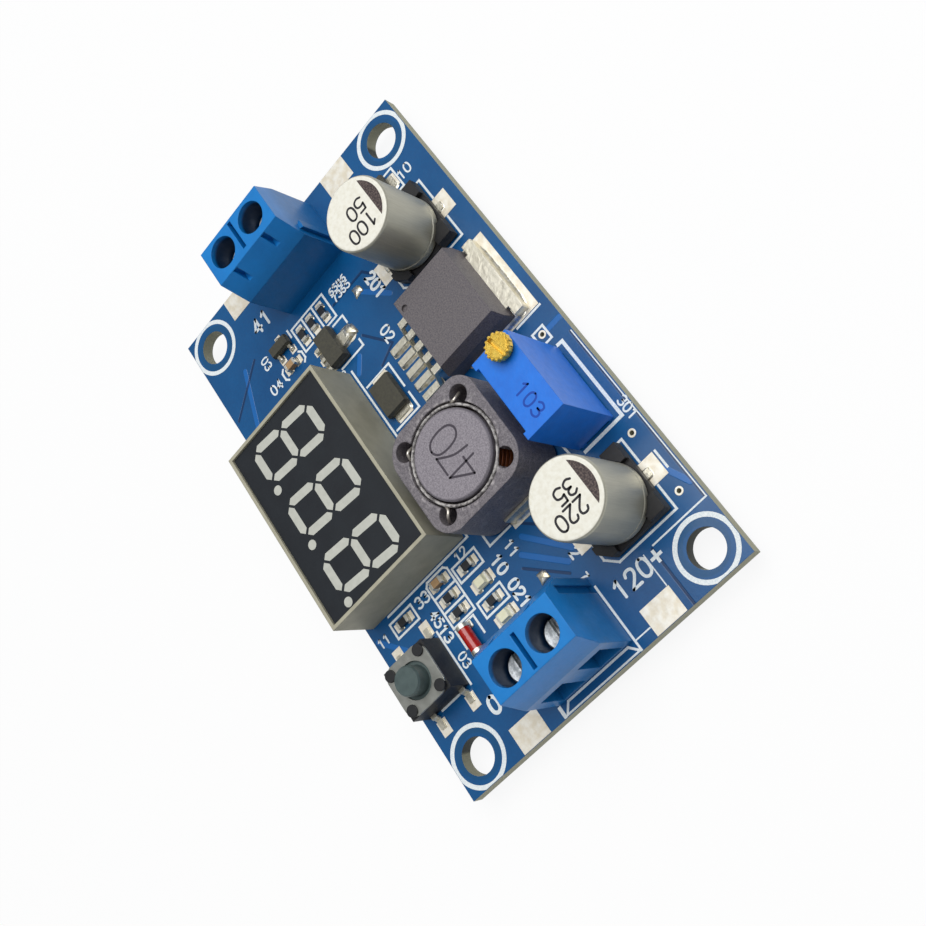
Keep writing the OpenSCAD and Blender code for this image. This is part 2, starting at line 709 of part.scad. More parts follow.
// The contact bar over the wire, its leg and the pin that is soldered into the board
module terminal_contacts() {
    for (s = [-1, 1])
        translate([0, s * term_pitch / 2, 0]) {
            translate([contact_leg_x - bar_t / 2, -bar_w / 2, bar_top_h - bar_t])
                cube([bar_reach - contact_leg_x + bar_t / 2, bar_w, bar_t]);
            translate([contact_leg_x, 0, 0])
                block([bar_t, bar_w, bar_top_h - bar_t], standoff);
            translate([contact_leg_x, 0, -board_top])
                block([bar_t, contact_pin_w, board_top + standoff]);
        }
}

screw_slot_w = 0.55;
screw_slot_depth = 0.45;
screw_tip_chamfer = 0.3;
screw_edge = 0.15;

module clamp_screw() {
    tip = bar_top_h + slack;
    neck = screw_top_h - screw_head_h;
    tip_d = screw_d - 2 * screw_tip_chamfer;
    difference() {
        union() {
            translate([0, 0, tip]) cylinder(d1 = tip_d, d2 = screw_d, h = screw_tip_chamfer);
            translate([0, 0, tip + screw_tip_chamfer])
                cylinder(d = screw_d, h = neck - tip - screw_tip_chamfer);
            translate([0, 0, neck]) cylinder(d = screw_head_d, h = screw_head_h - screw_edge);
            translate([0, 0, screw_top_h - screw_edge])
                cylinder(d1 = screw_head_d, d2 = screw_head_d - 2 * screw_edge, h = screw_edge);
        }
        block([screw_head_d + 1, screw_slot_w, screw_slot_depth + cut], screw_top_h - screw_slot_depth);
    }
}

// The cage that rises with the thread and presses the wire up against the bar
module wire_clamp() {
    wire_room = clamp_top_h - clamp_top_t - clamp_floor_h - clamp_wall;
    difference() {
        block([clamp_l, clamp_w, clamp_top_h - clamp_floor_h], clamp_floor_h);
        block([clamp_l + 2 * cut, clamp_w - 2 * clamp_wall, wire_room], clamp_floor_h + clamp_wall);
        translate([0, 0, bar_top_h]) cylinder(d = screw_d + 2 * slack, h = clamp_top_t + 1);
    }
}

module at_pole(s) {
    translate([0, s * term_pitch / 2, 0]) children();
}

module input_terminal_housing() { color([0, 0.52, 0.86]) at_input() terminal_housing(); }
module input_terminal_contacts() { color([0.8, 0.78, 0.7]) at_input() terminal_contacts(); }
module input_screw_1() { color("silver") at_input() at_pole(-1) clamp_screw(); }
module input_screw_2() { color("silver") at_input() at_pole(1) clamp_screw(); }
module input_clamp_1() { color([0.78, 0.72, 0.55]) at_input() at_pole(-1) wire_clamp(); }
module input_clamp_2() { color([0.78, 0.72, 0.55]) at_input() at_pole(1) wire_clamp(); }
module output_terminal_housing() { color([0, 0.52, 0.86]) at_output() terminal_housing(); }
module output_terminal_contacts() { color([0.8, 0.78, 0.7]) at_output() terminal_contacts(); }
module output_screw_1() { color("silver") at_output() at_pole(-1) clamp_screw(); }
module output_screw_2() { color("silver") at_output() at_pole(1) clamp_screw(); }
module output_clamp_1() { color([0.78, 0.72, 0.55]) at_output() at_pole(-1) wire_clamp(); }
module output_clamp_2() { color([0.78, 0.72, 0.55]) at_output() at_pole(1) wire_clamp(); }

// ---------------------------------------------------------------- capacitors

cap_base_z = land_t + cap_lead_t;
can_foot_h = cap_base_z + cap_base_t;
can_round = 0.35;
crimp_h = can_foot_h + 1.15;
crimp_depth = 0.16;
crimp_w = 0.5;
cap_corner_h = 0.7;      // how far the base's corners stand up round the can
cap_lead_w = 0.9;
cap_lead_toe = 4.75;
cap_mark_t = 0.02;
cap_mark_rim = 0.6;      // from the dark mark to the side of the can

// Side of a can, turned round its axis; the crimp holds the rubber bung
module capacitor_can() {
    r = cap_d / 2;
    rotate_extrude() {
        difference() {
            union() {
                translate([0, can_foot_h]) square([r - can_round, cap_h - can_foot_h]);
                translate([0, can_foot_h + can_round]) square([r, cap_h - can_foot_h - 2 * can_round]);
                for (z = [can_foot_h + can_round, cap_h - can_round])
                    intersection() {
                        translate([r - can_round, z]) circle(can_round);
                        translate([0, can_foot_h]) square([r, cap_h - can_foot_h]);
                    }
            }
            translate([r, crimp_h]) polygon([[-crimp_depth, 0], [cut, -crimp_w], [cut, crimp_w]]);
        }
    }
}

module capacitor_base_plan() {
    c = 1.2;
    h = cap_base_w / 2;
    polygon([[-h, h], [h, h], [h, -h + c], [h - c, -h], [-h + c, -h], [-h, -h + c]]);
}

module capacitor_base() {
    difference() {
        translate([0, 0, cap_base_z]) linear_extrude(cap_base_t + cap_corner_h) capacitor_base_plan();
        translate([0, 0, can_foot_h]) cylinder(d = cap_d + 2 * slack, h = cap_corner_h + cut);
        // only the corners stand up
        translate([0, 0, can_foot_h]) {
            block([cap_base_w - 4, cap_base_w + 2 * cut, cap_corner_h + cut]);
            block([cap_base_w + 2 * cut, cap_base_w - 4, cap_corner_h + cut]);
        }
    }
}

module capacitor_leads() {
    length = cap_lead_toe - 1;
    for (j = [-1, 1])
        translate([0, j * (cap_lead_toe - length / 2), 0]) block([cap_lead_w, length, cap_lead_t], land_t);
}

module capacitor_mark() {
    translate([0, 0, cap_h]) linear_extrude(cap_mark_t)
        intersection() {
            circle(d = cap_d - 2 * cap_mark_rim);
            translate([-cap_d, cap_mark_cut]) square([2 * cap_d, cap_d]);
        }
}

module input_capacitor_can() { color([0.85, 0.84, 0.80]) at(input_cap_spot) capacitor_can(); }
module input_capacitor_base() { color([0.1, 0.1, 0.1]) at(input_cap_spot) capacitor_base(); }
module input_capacitor_leads() { color([0.8, 0.8, 0.78]) at(input_cap_spot) capacitor_leads(); }
module output_capacitor_can() { color([0.85, 0.84, 0.80]) at(output_cap_spot) capacitor_can(); }
module output_capacitor_base() { color([0.1, 0.1, 0.1]) at(output_cap_spot) capacitor_base(); }
module output_capacitor_leads() { color([0.8, 0.8, 0.78]) at(output_cap_spot) capacitor_leads(); }

module capacitor_marks() {
    color([0.12, 0.1, 0.08]) {
        at(input_cap_spot) capacitor_mark();
        at(output_cap_spot) capacitor_mark();
    }
}

// ---------------------------------------------------------------- power regulator

reg_split_h = 2.6;       // height of the mould's parting line, where the leads leave
reg_side_taper = 0.4;
reg_shoulder = 0.8;      // from the front of the body to the bends of a lead
reg_heel = 1.95;
reg_lead_t = 0.45;

// Outlines drawn in Y and Z and in X and Z; the body tapers away from the parting line
module regulator_solid() {
    w = reg_w / 2;
    intersection() {
        translate([regulator_x, 0, 0]) across_x(reg_w) polygon([
            [reg_front_y + 0.35, land_t], [reg_back_y, land_t], [reg_back_y, land_t + reg_tab_t],
            [reg_back_y - 0.35, reg_h], [reg_front_y + 0.6, reg_h], [reg_front_y, reg_split_h]
        ]);
        translate([regulator_x, (reg_front_y + reg_back_y) / 2, 0]) across_y(reg_l + 1) polygon([
            [-w + 0.3, land_t], [w - 0.3, land_t], [w, reg_split_h],
            [w - reg_side_taper, reg_h], [-w + reg_side_taper, reg_h], [-w, reg_split_h]
        ]);
    }
}

module regulator_tab_solid() {
    c = 0.12;
    w = reg_w / 2;
    translate([regulator_x, 0, land_t]) linear_extrude(reg_tab_t)
        polygon([
            [-w + 1.2, reg_front_y + 1.5], [w - 1.2, reg_front_y + 1.5], [w - 1.2, reg_back_y + 0.35],
            [w, reg_back_y + 0.35], [w, reg_tab_y - c], [w - c, reg_tab_y], [-w + c, reg_tab_y],
            [-w, reg_tab_y - c], [-w, reg_back_y + 0.35], [-w + 1.2, reg_back_y + 0.35]
        ]);
}

module regulator_leads_solid() {
    exit_h = reg_split_h - reg_lead_t / 2;
    for (i = [-2:2])
        translate([regulator_x + i * reg_pitch, reg_front_y, 0]) rotate([0, 0, -90])
            gull_lead(-0.8, reg_shoulder, reg_heel, reg_foot_reach, exit_h, reg_lead_t, reg_lead_w);
}

module regulator_body() {
    color([0.30, 0.29, 0.31])
    on_board() difference() {
        regulator_solid();
        regulator_tab_solid();
        regulator_leads_solid();
        // pin-one dimple
        translate([regulator_x - reg_w / 2 + 1.8, reg_front_y + 1.3, reg_h - 0.3]) cylinder(d = 0.75, h = 1);
    }
}

module regulator_tab() { color([0.85, 0.84, 0.78]) on_board() regulator_tab_solid(); }
module regulator_leads() { color([0.88, 0.87, 0.83]) on_board() regulator_leads_solid(); }

// ---------------------------------------------------------------- trimmer

trim_foot = 0.25;        // height of the standoff feet
trim_base_t = 1;
trim_top_t = 0.75;
trim_screw_x = trimmer_x - trim_l / 2 + trim_screw_inset;
trim_screw_y = trimmer_y + trim_w / 2 - trim_screw_inset;
trim_neck_d = 2;
neck_show = 0.4;         // the head stands clear of the housing by this much
worm_d = 1.5;
worm_top = trim_h - trim_top_t - 2 * slack;
wheel_t = 1.2;
wheel_x = trim_screw_x + worm_d / 2 + slack + wheel_d / 2;
wheel_z = trim_foot + trim_base_t + wheel_d / 2 + 0.3;
wheel_pin_d = 1.6;
element_t = 0.6;
element_y = trimmer_y - 1.3;

module trimmer_housing() {
    inner_l = trim_l - 2 * trim_wall;
    inner_w = trim_w - 2 * trim_wall;
    wall_to_wheel = 0.1 + inner_w / 2 - (trim_screw_y - trimmer_y);
    color([0, 0.42, 0.92])
    on_board() difference() {
        union() {
            difference() {
                translate([trimmer_x, trimmer_y, 0]) {
                    block([trim_l, trim_w, trim_h - trim_foot], trim_foot);
                    for (i = [-1, 1], j = [-1, 1])
                        translate([i * (trim_l / 2 - 0.45), j * (trim_w / 2 - 0.3), 0])
                            block([0.9, 0.6, trim_foot + 0.1]);
                    // small ribs at the ends of one long side
                    for (i = [-1, 1])
                        translate([i * (trim_l / 2 - 0.4), -trim_w / 2 - 0.12, 0])
                            block([0.8, 0.46, trim_h - trim_foot], trim_foot);
                }
                translate([trimmer_x, trimmer_y, 0])
                    block([inner_l, inner_w, trim_h - trim_top_t - trim_foot + cut], trim_foot - cut);
            }
            // boss and pin that carry the worm wheel
            translate([wheel_x, trimmer_y + inner_w / 2 + 0.1, wheel_z]) rotate([90, 0, 0]) {
                cylinder(d = wheel_pin_d + 1, h = wall_to_wheel - wheel_t / 2 - slack);
                cylinder(d = wheel_pin_d, h = wall_to_wheel + wheel_t / 2);
            }
        }
        translate([trim_screw_x, trim_screw_y, trim_h - trim_top_t - cut])
            cylinder(d = trim_neck_d + 2 * slack, h = trim_top_t + 2 * cut);
    }
}

// The plate that closes the housing; the worm stands in its socket
module trimmer_base() {
    color([0.05, 0.30, 0.62])
    on_board() difference() {
        translate([trimmer_x, trimmer_y, 0])
            block([trim_l - 2 * trim_wall, trim_w - 2 * trim_wall, trim_base_t], trim_foot);
        translate([trim_screw_x, trim_screw_y, trim_foot + trim_base_t / 2])
            cylinder(d = worm_d - 0.3, h = trim_base_t);
        for (p = trim_pin_spots)
            translate([p[0], p[1], -cut]) cylinder(d = trim_pin_d, h = trim_base_t + trim_foot + 2 * cut);
    }
}

module trimmer_element() {
    color("white")
    on_board() translate([wheel_x, element_y, 0])
        block([wheel_d + 0.2, element_t, 2 * (wheel_z - trim_foot - trim_base_t)], trim_foot + trim_base_t);
}

module trimmer_wheel() {
    color([0.9, 0.85, 0.7])
    on_board() translate([wheel_x, trim_screw_y + wheel_t / 2, wheel_z]) rotate([90, 0, 0])
        difference() {
            union() {
                cylinder(d = wheel_d, h = wheel_t);
                // wiper arm's foot, close to the element
                translate([0, wheel_d / 2 - 1.2, wheel_t]) cylinder(d = 0.9, h = wiper_reach);
            }
            translate([0, 0, -cut]) cylinder(d = wheel_pin_d + 2 * slack, h = wheel_t + 2 * cut);
        }
}

wiper_reach = trim_screw_y - wheel_t / 2 - element_y - element_t / 2 - slack;

module trimmer_screw() {
    color([0.88, 0.70, 0.25])
    on_board() translate([trim_screw_x, trim_screw_y, 0]) difference() {
        union() {
            translate([0, 0, trim_foot + trim_base_t / 2 + slack])
                cylinder(d = worm_d - 0.3 - 2 * slack, h = trim_base_t / 2 + slack);
            translate([0, 0, trim_foot + trim_base_t + slack])
                cylinder(d = worm_d, h = worm_top - trim_foot - trim_base_t - slack);
            translate([0, 0, worm_top - cut]) cylinder(d = worm_d, h = 2 * cut);
            translate([0, 0, worm_top + slack]) cylinder(d = trim_neck_d, h = trim_h + neck_show - worm_top);
            translate([0, 0, trim_h + slack + neck_show])
                cylinder(d = trim_head_d, h = trim_head_h - neck_show - 0.2);
            translate([0, 0, trim_h + slack + trim_head_h - 0.2])
                cylinder(d1 = trim_head_d, d2 = trim_head_d - 0.4, h = 0.2);
        }
        rotate([0, 0, 10]) block([trim_head_d + 1, 0.45, 1], trim_h + slack + trim_head_h - 0.45);
    }
}

module trimmer_pins() {
    color("silver")
    for (p = trim_pin_spots)
        translate([p[0], p[1], 0]) cylinder(d = trim_pin_d, h = board_top + trim_foot + trim_base_t);
}

// ---------------------------------------------------------------- inductor

choke_foot = 0.45;       // the shield stands above its two metal terminals
shield_bore_d = drum_d + 2 * drum_gap;
pocket_d = 2.1;          // the corners of the opening leave room for the wire's ends
pocket_r = choke_w / 2 - 2;
drum_top_h = choke_h;
shield_h = choke_h - 0.25;
choke_strap_t = 0.3;
choke_strap_w = 4.4;
choke_strap_h = 2;

// A square with two corners rounded more than the other two
module shield_outline() {
    hull()
        for (c = [[-1, -1, 3.2], [1, 1, 3], [-1, 1, 2.2], [1, -1, 2.6]])
            translate([c[0] * (choke_w / 2 - c[2]), c[1] * (choke_w / 2 - c[2])]) circle(c[2]);
}

module inductor_shield() {
    color([0.42, 0.40, 0.42])
    at([inductor_x, inductor_y, 0]) difference() {
        translate([0, 0, choke_foot]) linear_extrude(shield_h - choke_foot)
            shield_outline();
        translate([0, 0, choke_foot - cut]) linear_extrude(shield_h + 2 * cut) {
            circle(d = shield_bore_d);
            for (i = [-1, 1], j = [-1, 1]) translate([i * pocket_r, j * pocket_r]) circle(d = pocket_d);
        }
    }
}

module inductor_drum() {
    color([0.50, 0.48, 0.50])
    at([inductor_x, inductor_y, 0]) {
        translate([0, 0, choke_foot]) cylinder(d = drum_d, h = drum_flange_t);
        translate([0, 0, choke_foot]) cylinder(d = drum_core_d, h = drum_top_h - choke_foot);
        translate([0, 0, drum_top_h - drum_flange_t]) cylinder(d = drum_d, h = drum_flange_t - 0.2);
        translate([0, 0, drum_top_h - 0.2]) cylinder(d1 = drum_d, d2 = drum_d - 0.4, h = 0.2);
    }
}

wire_d = 0.7;

// The coil of enamelled wire, as a ring with the swell of its outer turns
module inductor_winding() {
    low = choke_foot + drum_flange_t;
    high = drum_top_h - drum_flange_t;
    turns = floor((high - low) / wire_d);
    step = (high - low) / turns;
    color([0.72, 0.42, 0.18])
    at([inductor_x, inductor_y, 0]) difference() {
        union() {
            translate([0, 0, low]) cylinder(d = drum_d - 1.4, h = high - low);
            for (i = [0:turns - 1])
                translate([0, 0, low + (i + 0.5) * step]) rotate_extrude()
                    translate([drum_d / 2 - 0.7, 0]) circle(d = step * 0.98, $fn = 24);
        }
        translate([0, 0, low - cut]) cylinder(d = drum_core_d, h = high - low + 2 * cut);
    }
}

module inductor_terminals() {
    color([0.85, 0.84, 0.8])
    at([inductor_x, inductor_y, 0])
        for (i = [-1, 1])
            translate([i * (choke_w / 2 - 1.9), 0, 0]) {
                block([3.4, choke_strap_w, choke_foot - land_t], land_t);
                translate([i * (1.9 + choke_strap_t / 2 + slack / 2), 0, 0])
                    block([choke_strap_t, choke_strap_w, choke_strap_h], land_t);
                translate([i * 1.8, 0, 0]) block([0.6, choke_strap_w, choke_strap_t], land_t);
            }
}

// ---------------------------------------------------------------- display

face_h = disp_h - disp_recess;
face_t = 0.3;
digit_centre_y = display_y + 0.05;
digit_centre_x = display_x + 0.15;
segment_gap = 0.22;
dot_d = 1.1;
disp_floor_h = 0.4;
face_margin = disp_rim + slack;

// Leans a point forward as the digit does
function lean(p) = [p[0] + p[1] * tan(digit_lean), p[1]];

// A bar with pointed ends between a and b, given as its six corners before the lean
function bar_points(a, b) =
    let (d = (b - a) / norm(b - a), n = [-d[1], d[0]] * segment_w / 2,
         p = a + d * segment_gap, q = b - d * segment_gap, e = d * segment_w / 2)
    [for (v = [p, p + e + n, q - e + n, q, q - e - n, p + e - n]) lean(v)];

half_digit = digit_w / 2 - segment_w / 2;
half_rise = digit_h / 2 - segment_w / 2;
digit_corners = [
    [-half_digit, half_rise], [half_digit, half_rise], [-half_digit, 0],
    [half_digit, 0], [-half_digit, -half_rise], [half_digit, -half_rise]
];
digit_bars = [[0, 1], [0, 2], [1, 3], [2, 3], [2, 4], [3, 5], [4, 5]];

module digit_plan() {
    for (b = digit_bars) polygon(bar_points(digit_corners[b[0]], digit_corners[b[1]]));
    translate([digit_w / 2 + 0.3, -half_rise - 0.05]) circle(d = dot_d, $fn = 32);
}

module segment_plan() {
    for (i = [-1:1]) translate([digit_centre_x + i * digit_pitch, digit_centre_y]) digit_plan();
}

module display_shell() {
    inner_l = disp_l - 2 * disp_rim;
    inner_w = disp_w - 2 * disp_rim;
    color([0.62, 0.61, 0.55])
    on_board() difference() {
        translate([display_x, display_y, 0]) block([disp_l, disp_w, disp_h]);
        translate([display_x, display_y, 0])
            block([inner_l, inner_w, disp_recess + face_t + cut], face_h - face_t);
        // the underside is hollowed a little inside its edge
        translate([display_x, display_y, 0])
            block([inner_l - 2 * disp_rim, inner_w - 2 * disp_rim, disp_floor_h + cut], -cut);
        translate([0, 0, segment_low_h]) linear_extrude(segment_depth + cut) segment_plan();
        for (p = disp_pin_spots)
            translate([p[0], p[1], -cut]) cylinder(d = disp_pin_d, h = disp_pin_in + cut);
    }
}

segment_depth = 1.2;
segment_low_h = face_h - face_t - segment_depth;
disp_pin_in = 2;

module display_face() {
    color([0.07, 0.08, 0.09])
    on_board() difference() {
        translate([display_x, display_y, 0])
            block([disp_l - 2 * face_margin, disp_w - 2 * face_margin, face_t], face_h - face_t);
        translate([0, 0, face_h - face_t - cut]) linear_extrude(face_t + 2 * cut) segment_plan();
    }
}

module display_segments() {
    color([0.80, 0.80, 0.76])
    on_board() translate([0, 0, segment_low_h])
        linear_extrude(segment_depth + face_t) segment_plan();
}

module display_pins() {
    color("silver")
    for (p = disp_pin_spots)
        translate([p[0], p[1], 0]) cylinder(d = disp_pin_d, h = board_top + disp_pin_in);
}

// ---------------------------------------------------------------- push button

switch_base_z = standoff;
cover_t = 0.25;
post_d = 1.3;
post_spread = 2.2;
post_rise = 0.2;
cover_round = 1.4;       // the posts stand out at the cover's rounded corners
switch_chamber_d = 4.4;
switch_floor_t = 1.1;
button_flange_d = 4.2;
button_flange_t = 0.4;
flange_top_h = switch_h - cover_t - slack;
dome_t = 0.12;
dome_rise = 0.45;
dome_d = switch_chamber_d - 0.4;
dome_top_d = 1.6;
plunger_d = 1.8;
button_edge = 0.25;

module at_switch() {
    at([switch_x, switch_y, 0]) children();
}

module switch_base() {
    color([0.09, 0.09, 0.09])
    at_switch() difference() {
        union() {
            block([switch_w, switch_w, switch_h - cover_t - switch_base_z], switch_base_z);
            for (i = [-1, 1], j = [-1, 1])
                translate([i * post_spread, j * post_spread, switch_h - cover_t - 0.1])
                    cylinder(d = post_d, h = cover_t + post_rise + 0.1);
        }
        translate([0, 0, switch_floor_t]) cylinder(d = switch_chamber_d, h = switch_h);
        switch_legs_solid();
    }
}

module switch_cover() {
    color([0.72, 0.70, 0.66])
    at_switch() difference() {
        translate([0, 0, switch_h - cover_t]) linear_extrude(cover_t)
            rounded_rect(switch_w, switch_w, cover_round);
        translate([0, 0, switch_h - cover_t - cut]) cylinder(d = button_hole_d, h = cover_t + 2 * cut);
        for (i = [-1, 1], j = [-1, 1])
            translate([i * post_spread, j * post_spread, switch_h - cover_t - cut])
                cylinder(d = post_d, h = cover_t + 2 * cut);
    }
}

// The snap disc under the button: a thin cup with a raised middle
module switch_dome() {
    color([0.82, 0.82, 0.8])
    at_switch() translate([0, 0, switch_floor_t]) difference() {
        cylinder(d1 = dome_d, d2 = dome_top_d, h = dome_rise);
        translate([0, 0, -0.01])
            cylinder(d1 = dome_d - 4 * dome_t, d2 = dome_top_d - 4 * dome_t, h = dome_rise - dome_t);
    }
}

module switch_button() {
    flange_low_h = flange_top_h - button_flange_t;
    color([0.28, 0.34, 0.34])
    at_switch() {
        translate([0, 0, switch_floor_t + dome_rise + slack])
            cylinder(d = plunger_d, h = flange_low_h - switch_floor_t - dome_rise);
        translate([0, 0, flange_low_h]) cylinder(d = button_flange_d, h = button_flange_t);
        translate([0, 0, flange_top_h]) cylinder(d = button_d, h = button_h - flange_top_h - button_edge);
        translate([0, 0, button_h - button_edge])
            cylinder(d1 = button_d, d2 = button_d - 1.2 * button_edge, h = button_edge);
    }
}

leg_t = 0.2;
leg_w = 0.7;
leg_toe = 4.7;
leg_exit_h = 0.6;

module switch_legs_solid() {
    side = switch_w / 2;
    for (i = [0, 180], j = [-1, 1])
        rotate([0, 0, i]) translate([0, j * leg_pitch / 2, 0])
            gull_lead(side - 0.8, side + 0.25, side + 0.5, leg_toe, leg_exit_h, leg_t, leg_w);
}

module switch_legs() { color([0.85, 0.83, 0.75]) at_switch() switch_legs_solid(); }

// ---------------------------------------------------------------- small parts

diode_lead_t = 0.2;
diode_lead_reach = 0.55; // past the end of the body

// Flat leads; each is narrower than the body of width w
module diode_leads_solid(w) {
    for (e = [-1, 1])
        translate([e * (diode_l / 2 - 0.3), 0, 0])
            block([2 * (diode_lead_reach + 0.3), w - 1.1, diode_lead_t], land_t);
}

module diode_bodies() {
    color([0.12, 0.12, 0.13])
    for (s = diode_spots)
        at(s) difference() {
            moulded(diode_l, s[3], diode_h, 0.12);
            diode_leads_solid(s[3]);
        }
}

module diode_leads() {
    color("silver") for (s = diode_spots) at(s) diode_leads_solid(s[3]);
}

supply_l = 4.5;
supply_w = 2.45;
supply_h = 1.5;

module supply_leads_solid() {
    translate([0, 0, land_t]) linear_extrude(0.4) {
        for (i = [-1:1])
            translate([i * 1.5, -supply_w / 2 - 0.35]) square([0.45, 1.3], center = true);
        polygon([[-0.85, -0.9], [0.85, -0.9], [0.85, 1.1], [0.65, 2.3], [-0.65, 2.3], [-0.85, 1.1]]);
        translate([-0.25, -1.6]) square([0.5, 1]);
    }
}

module supply_regulator_body() {
    color([0.22, 0.23, 0.22])
    at(supply_reg_spot) difference() {
        moulded(supply_l, supply_w, supply_h, 0.12, land_t);
        supply_leads_solid();
    }
}

module supply_regulator_leads() { color("silver") at(supply_reg_spot) supply_leads_solid(); }

transistor_l = 2.9;
transistor_w = 1.35;
transistor_h = 1.05;

module transistor_leads_solid() {
    for (t = [[180, 0], [0, -0.95], [0, 0.95]])
        rotate([0, 0, t[0]]) translate([0, t[1], 0])
            gull_lead(0.3, 0.78, 0.88, 1.3, 0.45, 0.13, 0.42);
}

module transistor_body() {
    color([0.15, 0.15, 0.15])
    at(transistor_spot) difference() {
        moulded(transistor_w, transistor_l, transistor_h, 0.1);
        transistor_leads_solid();
    }
}

module transistor_leads() { color("silver") at(transistor_spot) transistor_leads_solid(); }

glass_cap_l = 0.45;

module along_x(x) {
    translate([x, 0, land_t + glass_d / 2]) rotate([0, 90, 0]) children();
}

module glass_diode_body() {
    color([0.65, 0.10, 0.05, 0.8])
    at(glass_spot) along_x(-glass_l / 2 + glass_cap_l)
        cylinder(d = glass_d - 0.1, h = glass_l - 2 * glass_cap_l);
}

module glass_diode_caps() {
    color("silver")
    at(glass_spot) for (x = [-glass_l / 2, glass_l / 2 - glass_cap_l])
        along_x(x) cylinder(d = glass_d, h = glass_cap_l);
}

led_base_t = 0.35;
led_h = 0.8;

module indicator_lights() {
    color([0.95, 0.94, 0.85])
    for (s = led_spots)
        at(s) {
            block([led_l - 2 * chip_end_l, led_w, led_base_t], land_t);
            translate([0, 0, land_t + led_base_t]) intersection() {
                across_y(led_w - 0.1) trapezoid(led_l - 0.7, led_h - led_base_t, 0.1);
                across_x(led_l) trapezoid(led_w - 0.1, led_h - led_base_t, 0.1);
            }
        }
}

module trapezoid(l, h, taper) {
    polygon([[-l / 2, 0], [l / 2, 0], [l / 2 - taper, h], [-l / 2 + taper, h]]);
}

module chip_resistors() {
    color([0.13, 0.14, 0.13])
    for (s = resistor_spots) at(s) block([chip_l - 2 * chip_end_l, chip_w, resistor_h], land_t);
}

module chip_capacitors() {
    color([0.62, 0.50, 0.33])
    for (s = chip_cap_spots) at(s) block([chip_l - 2 * chip_end_l, chip_w, chip_cap_h], land_t);
}

module chip_end_pair(l, w, h) {
    for (e = [-1, 1])
        translate([e * (l / 2 - chip_end_l / 2), 0, 0]) block([chip_end_l, w, h], land_t);
}

module chip_ends() {
    color([0.85, 0.85, 0.82]) {
        for (s = resistor_spots) at(s) chip_end_pair(chip_l, chip_w, resistor_h);
        for (s = chip_cap_spots) at(s) chip_end_pair(chip_l, chip_w, chip_cap_h);
        for (s = led_spots) at(s) chip_end_pair(led_l, led_w, led_base_t);
    }
}

// ---------------------------------------------------------------- display driver, underneath

driver_h = 1.15;

// The same frame turned over: Z runs down from the underside of the board
module under_board() {
    translate([driver_spot[0], driver_spot[1], pin_drop]) rotate([180, 0, 0]) children();
}

module driver_leads_solid() {
    side = driver_w / 2;
    for (i = [0:driver_pins - 1], a = [-90, 90])
        translate([(i - (driver_pins - 1) / 2) * driver_pitch, 0, 0]) rotate([0, 0, a])
            gull_lead(side - 0.4, side + 0.25, side + 0.4, driver_span / 2, 0.55, 0.13, 0.24);
}

module display_driver_body() {
    color([0.13, 0.13, 0.14])
    under_board() difference() {
        moulded(driver_l, driver_w, driver_h, 0.12);
        driver_leads_solid();
    }
}

module display_driver_leads() { color("silver") under_board() driver_leads_solid(); }

// ---------------------------------------------------------------- the part

circuit_board();
printed_marks();
solder_lands();
solder_joints();
input_terminal_housing();
input_terminal_contacts();
input_screw_1();
input_screw_2();
input_clamp_1();
input_clamp_2();
output_terminal_housing();
output_terminal_contacts();
output_screw_1();
output_screw_2();
output_clamp_1();
output_clamp_2();
input_capacitor_can();
input_capacitor_base();
input_capacitor_leads();
output_capacitor_can();
output_capacitor_base();
output_capacitor_leads();
capacitor_marks();
regulator_body();
regulator_tab();
regulator_leads();
trimmer_housing();
trimmer_base();
trimmer_element();
trimmer_wheel();
trimmer_screw();
trimmer_pins();
inductor_shield();
inductor_drum();
inductor_winding();
inductor_terminals();
display_shell();
display_face();
display_segments();
display_pins();
switch_base();
switch_cover();
switch_dome();
switch_button();
switch_legs();
diode_bodies();
diode_leads();
supply_regulator_body();
supply_regulator_leads();
transistor_body();
transistor_leads();
glass_diode_body();
glass_diode_caps();
indicator_lights();
chip_resistors();
chip_capacitors();
chip_ends();
display_driver_body();
display_driver_leads();
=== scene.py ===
import bmesh
import bpy
import numpy as np
from mathutils import Matrix, Vector


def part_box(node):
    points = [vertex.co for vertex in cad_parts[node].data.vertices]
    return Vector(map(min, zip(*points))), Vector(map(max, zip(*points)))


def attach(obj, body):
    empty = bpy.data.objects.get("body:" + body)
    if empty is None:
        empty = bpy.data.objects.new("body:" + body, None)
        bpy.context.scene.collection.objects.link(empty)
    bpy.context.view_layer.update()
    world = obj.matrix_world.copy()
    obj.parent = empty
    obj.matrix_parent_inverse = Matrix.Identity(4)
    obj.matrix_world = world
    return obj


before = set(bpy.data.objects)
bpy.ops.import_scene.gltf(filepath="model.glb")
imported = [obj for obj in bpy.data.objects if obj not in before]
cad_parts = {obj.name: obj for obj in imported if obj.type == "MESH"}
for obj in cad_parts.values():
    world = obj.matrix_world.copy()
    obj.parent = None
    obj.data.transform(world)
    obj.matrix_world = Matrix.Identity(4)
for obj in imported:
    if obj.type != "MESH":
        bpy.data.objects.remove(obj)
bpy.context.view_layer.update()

# ---- Circuit board
# A sheet of woven glass and resin 1.6 mm thick, with copper on both faces under a blue
# lacquer. It is sawn and drilled after lacquering, so every cut edge shows bare laminate.

mm = 0.001


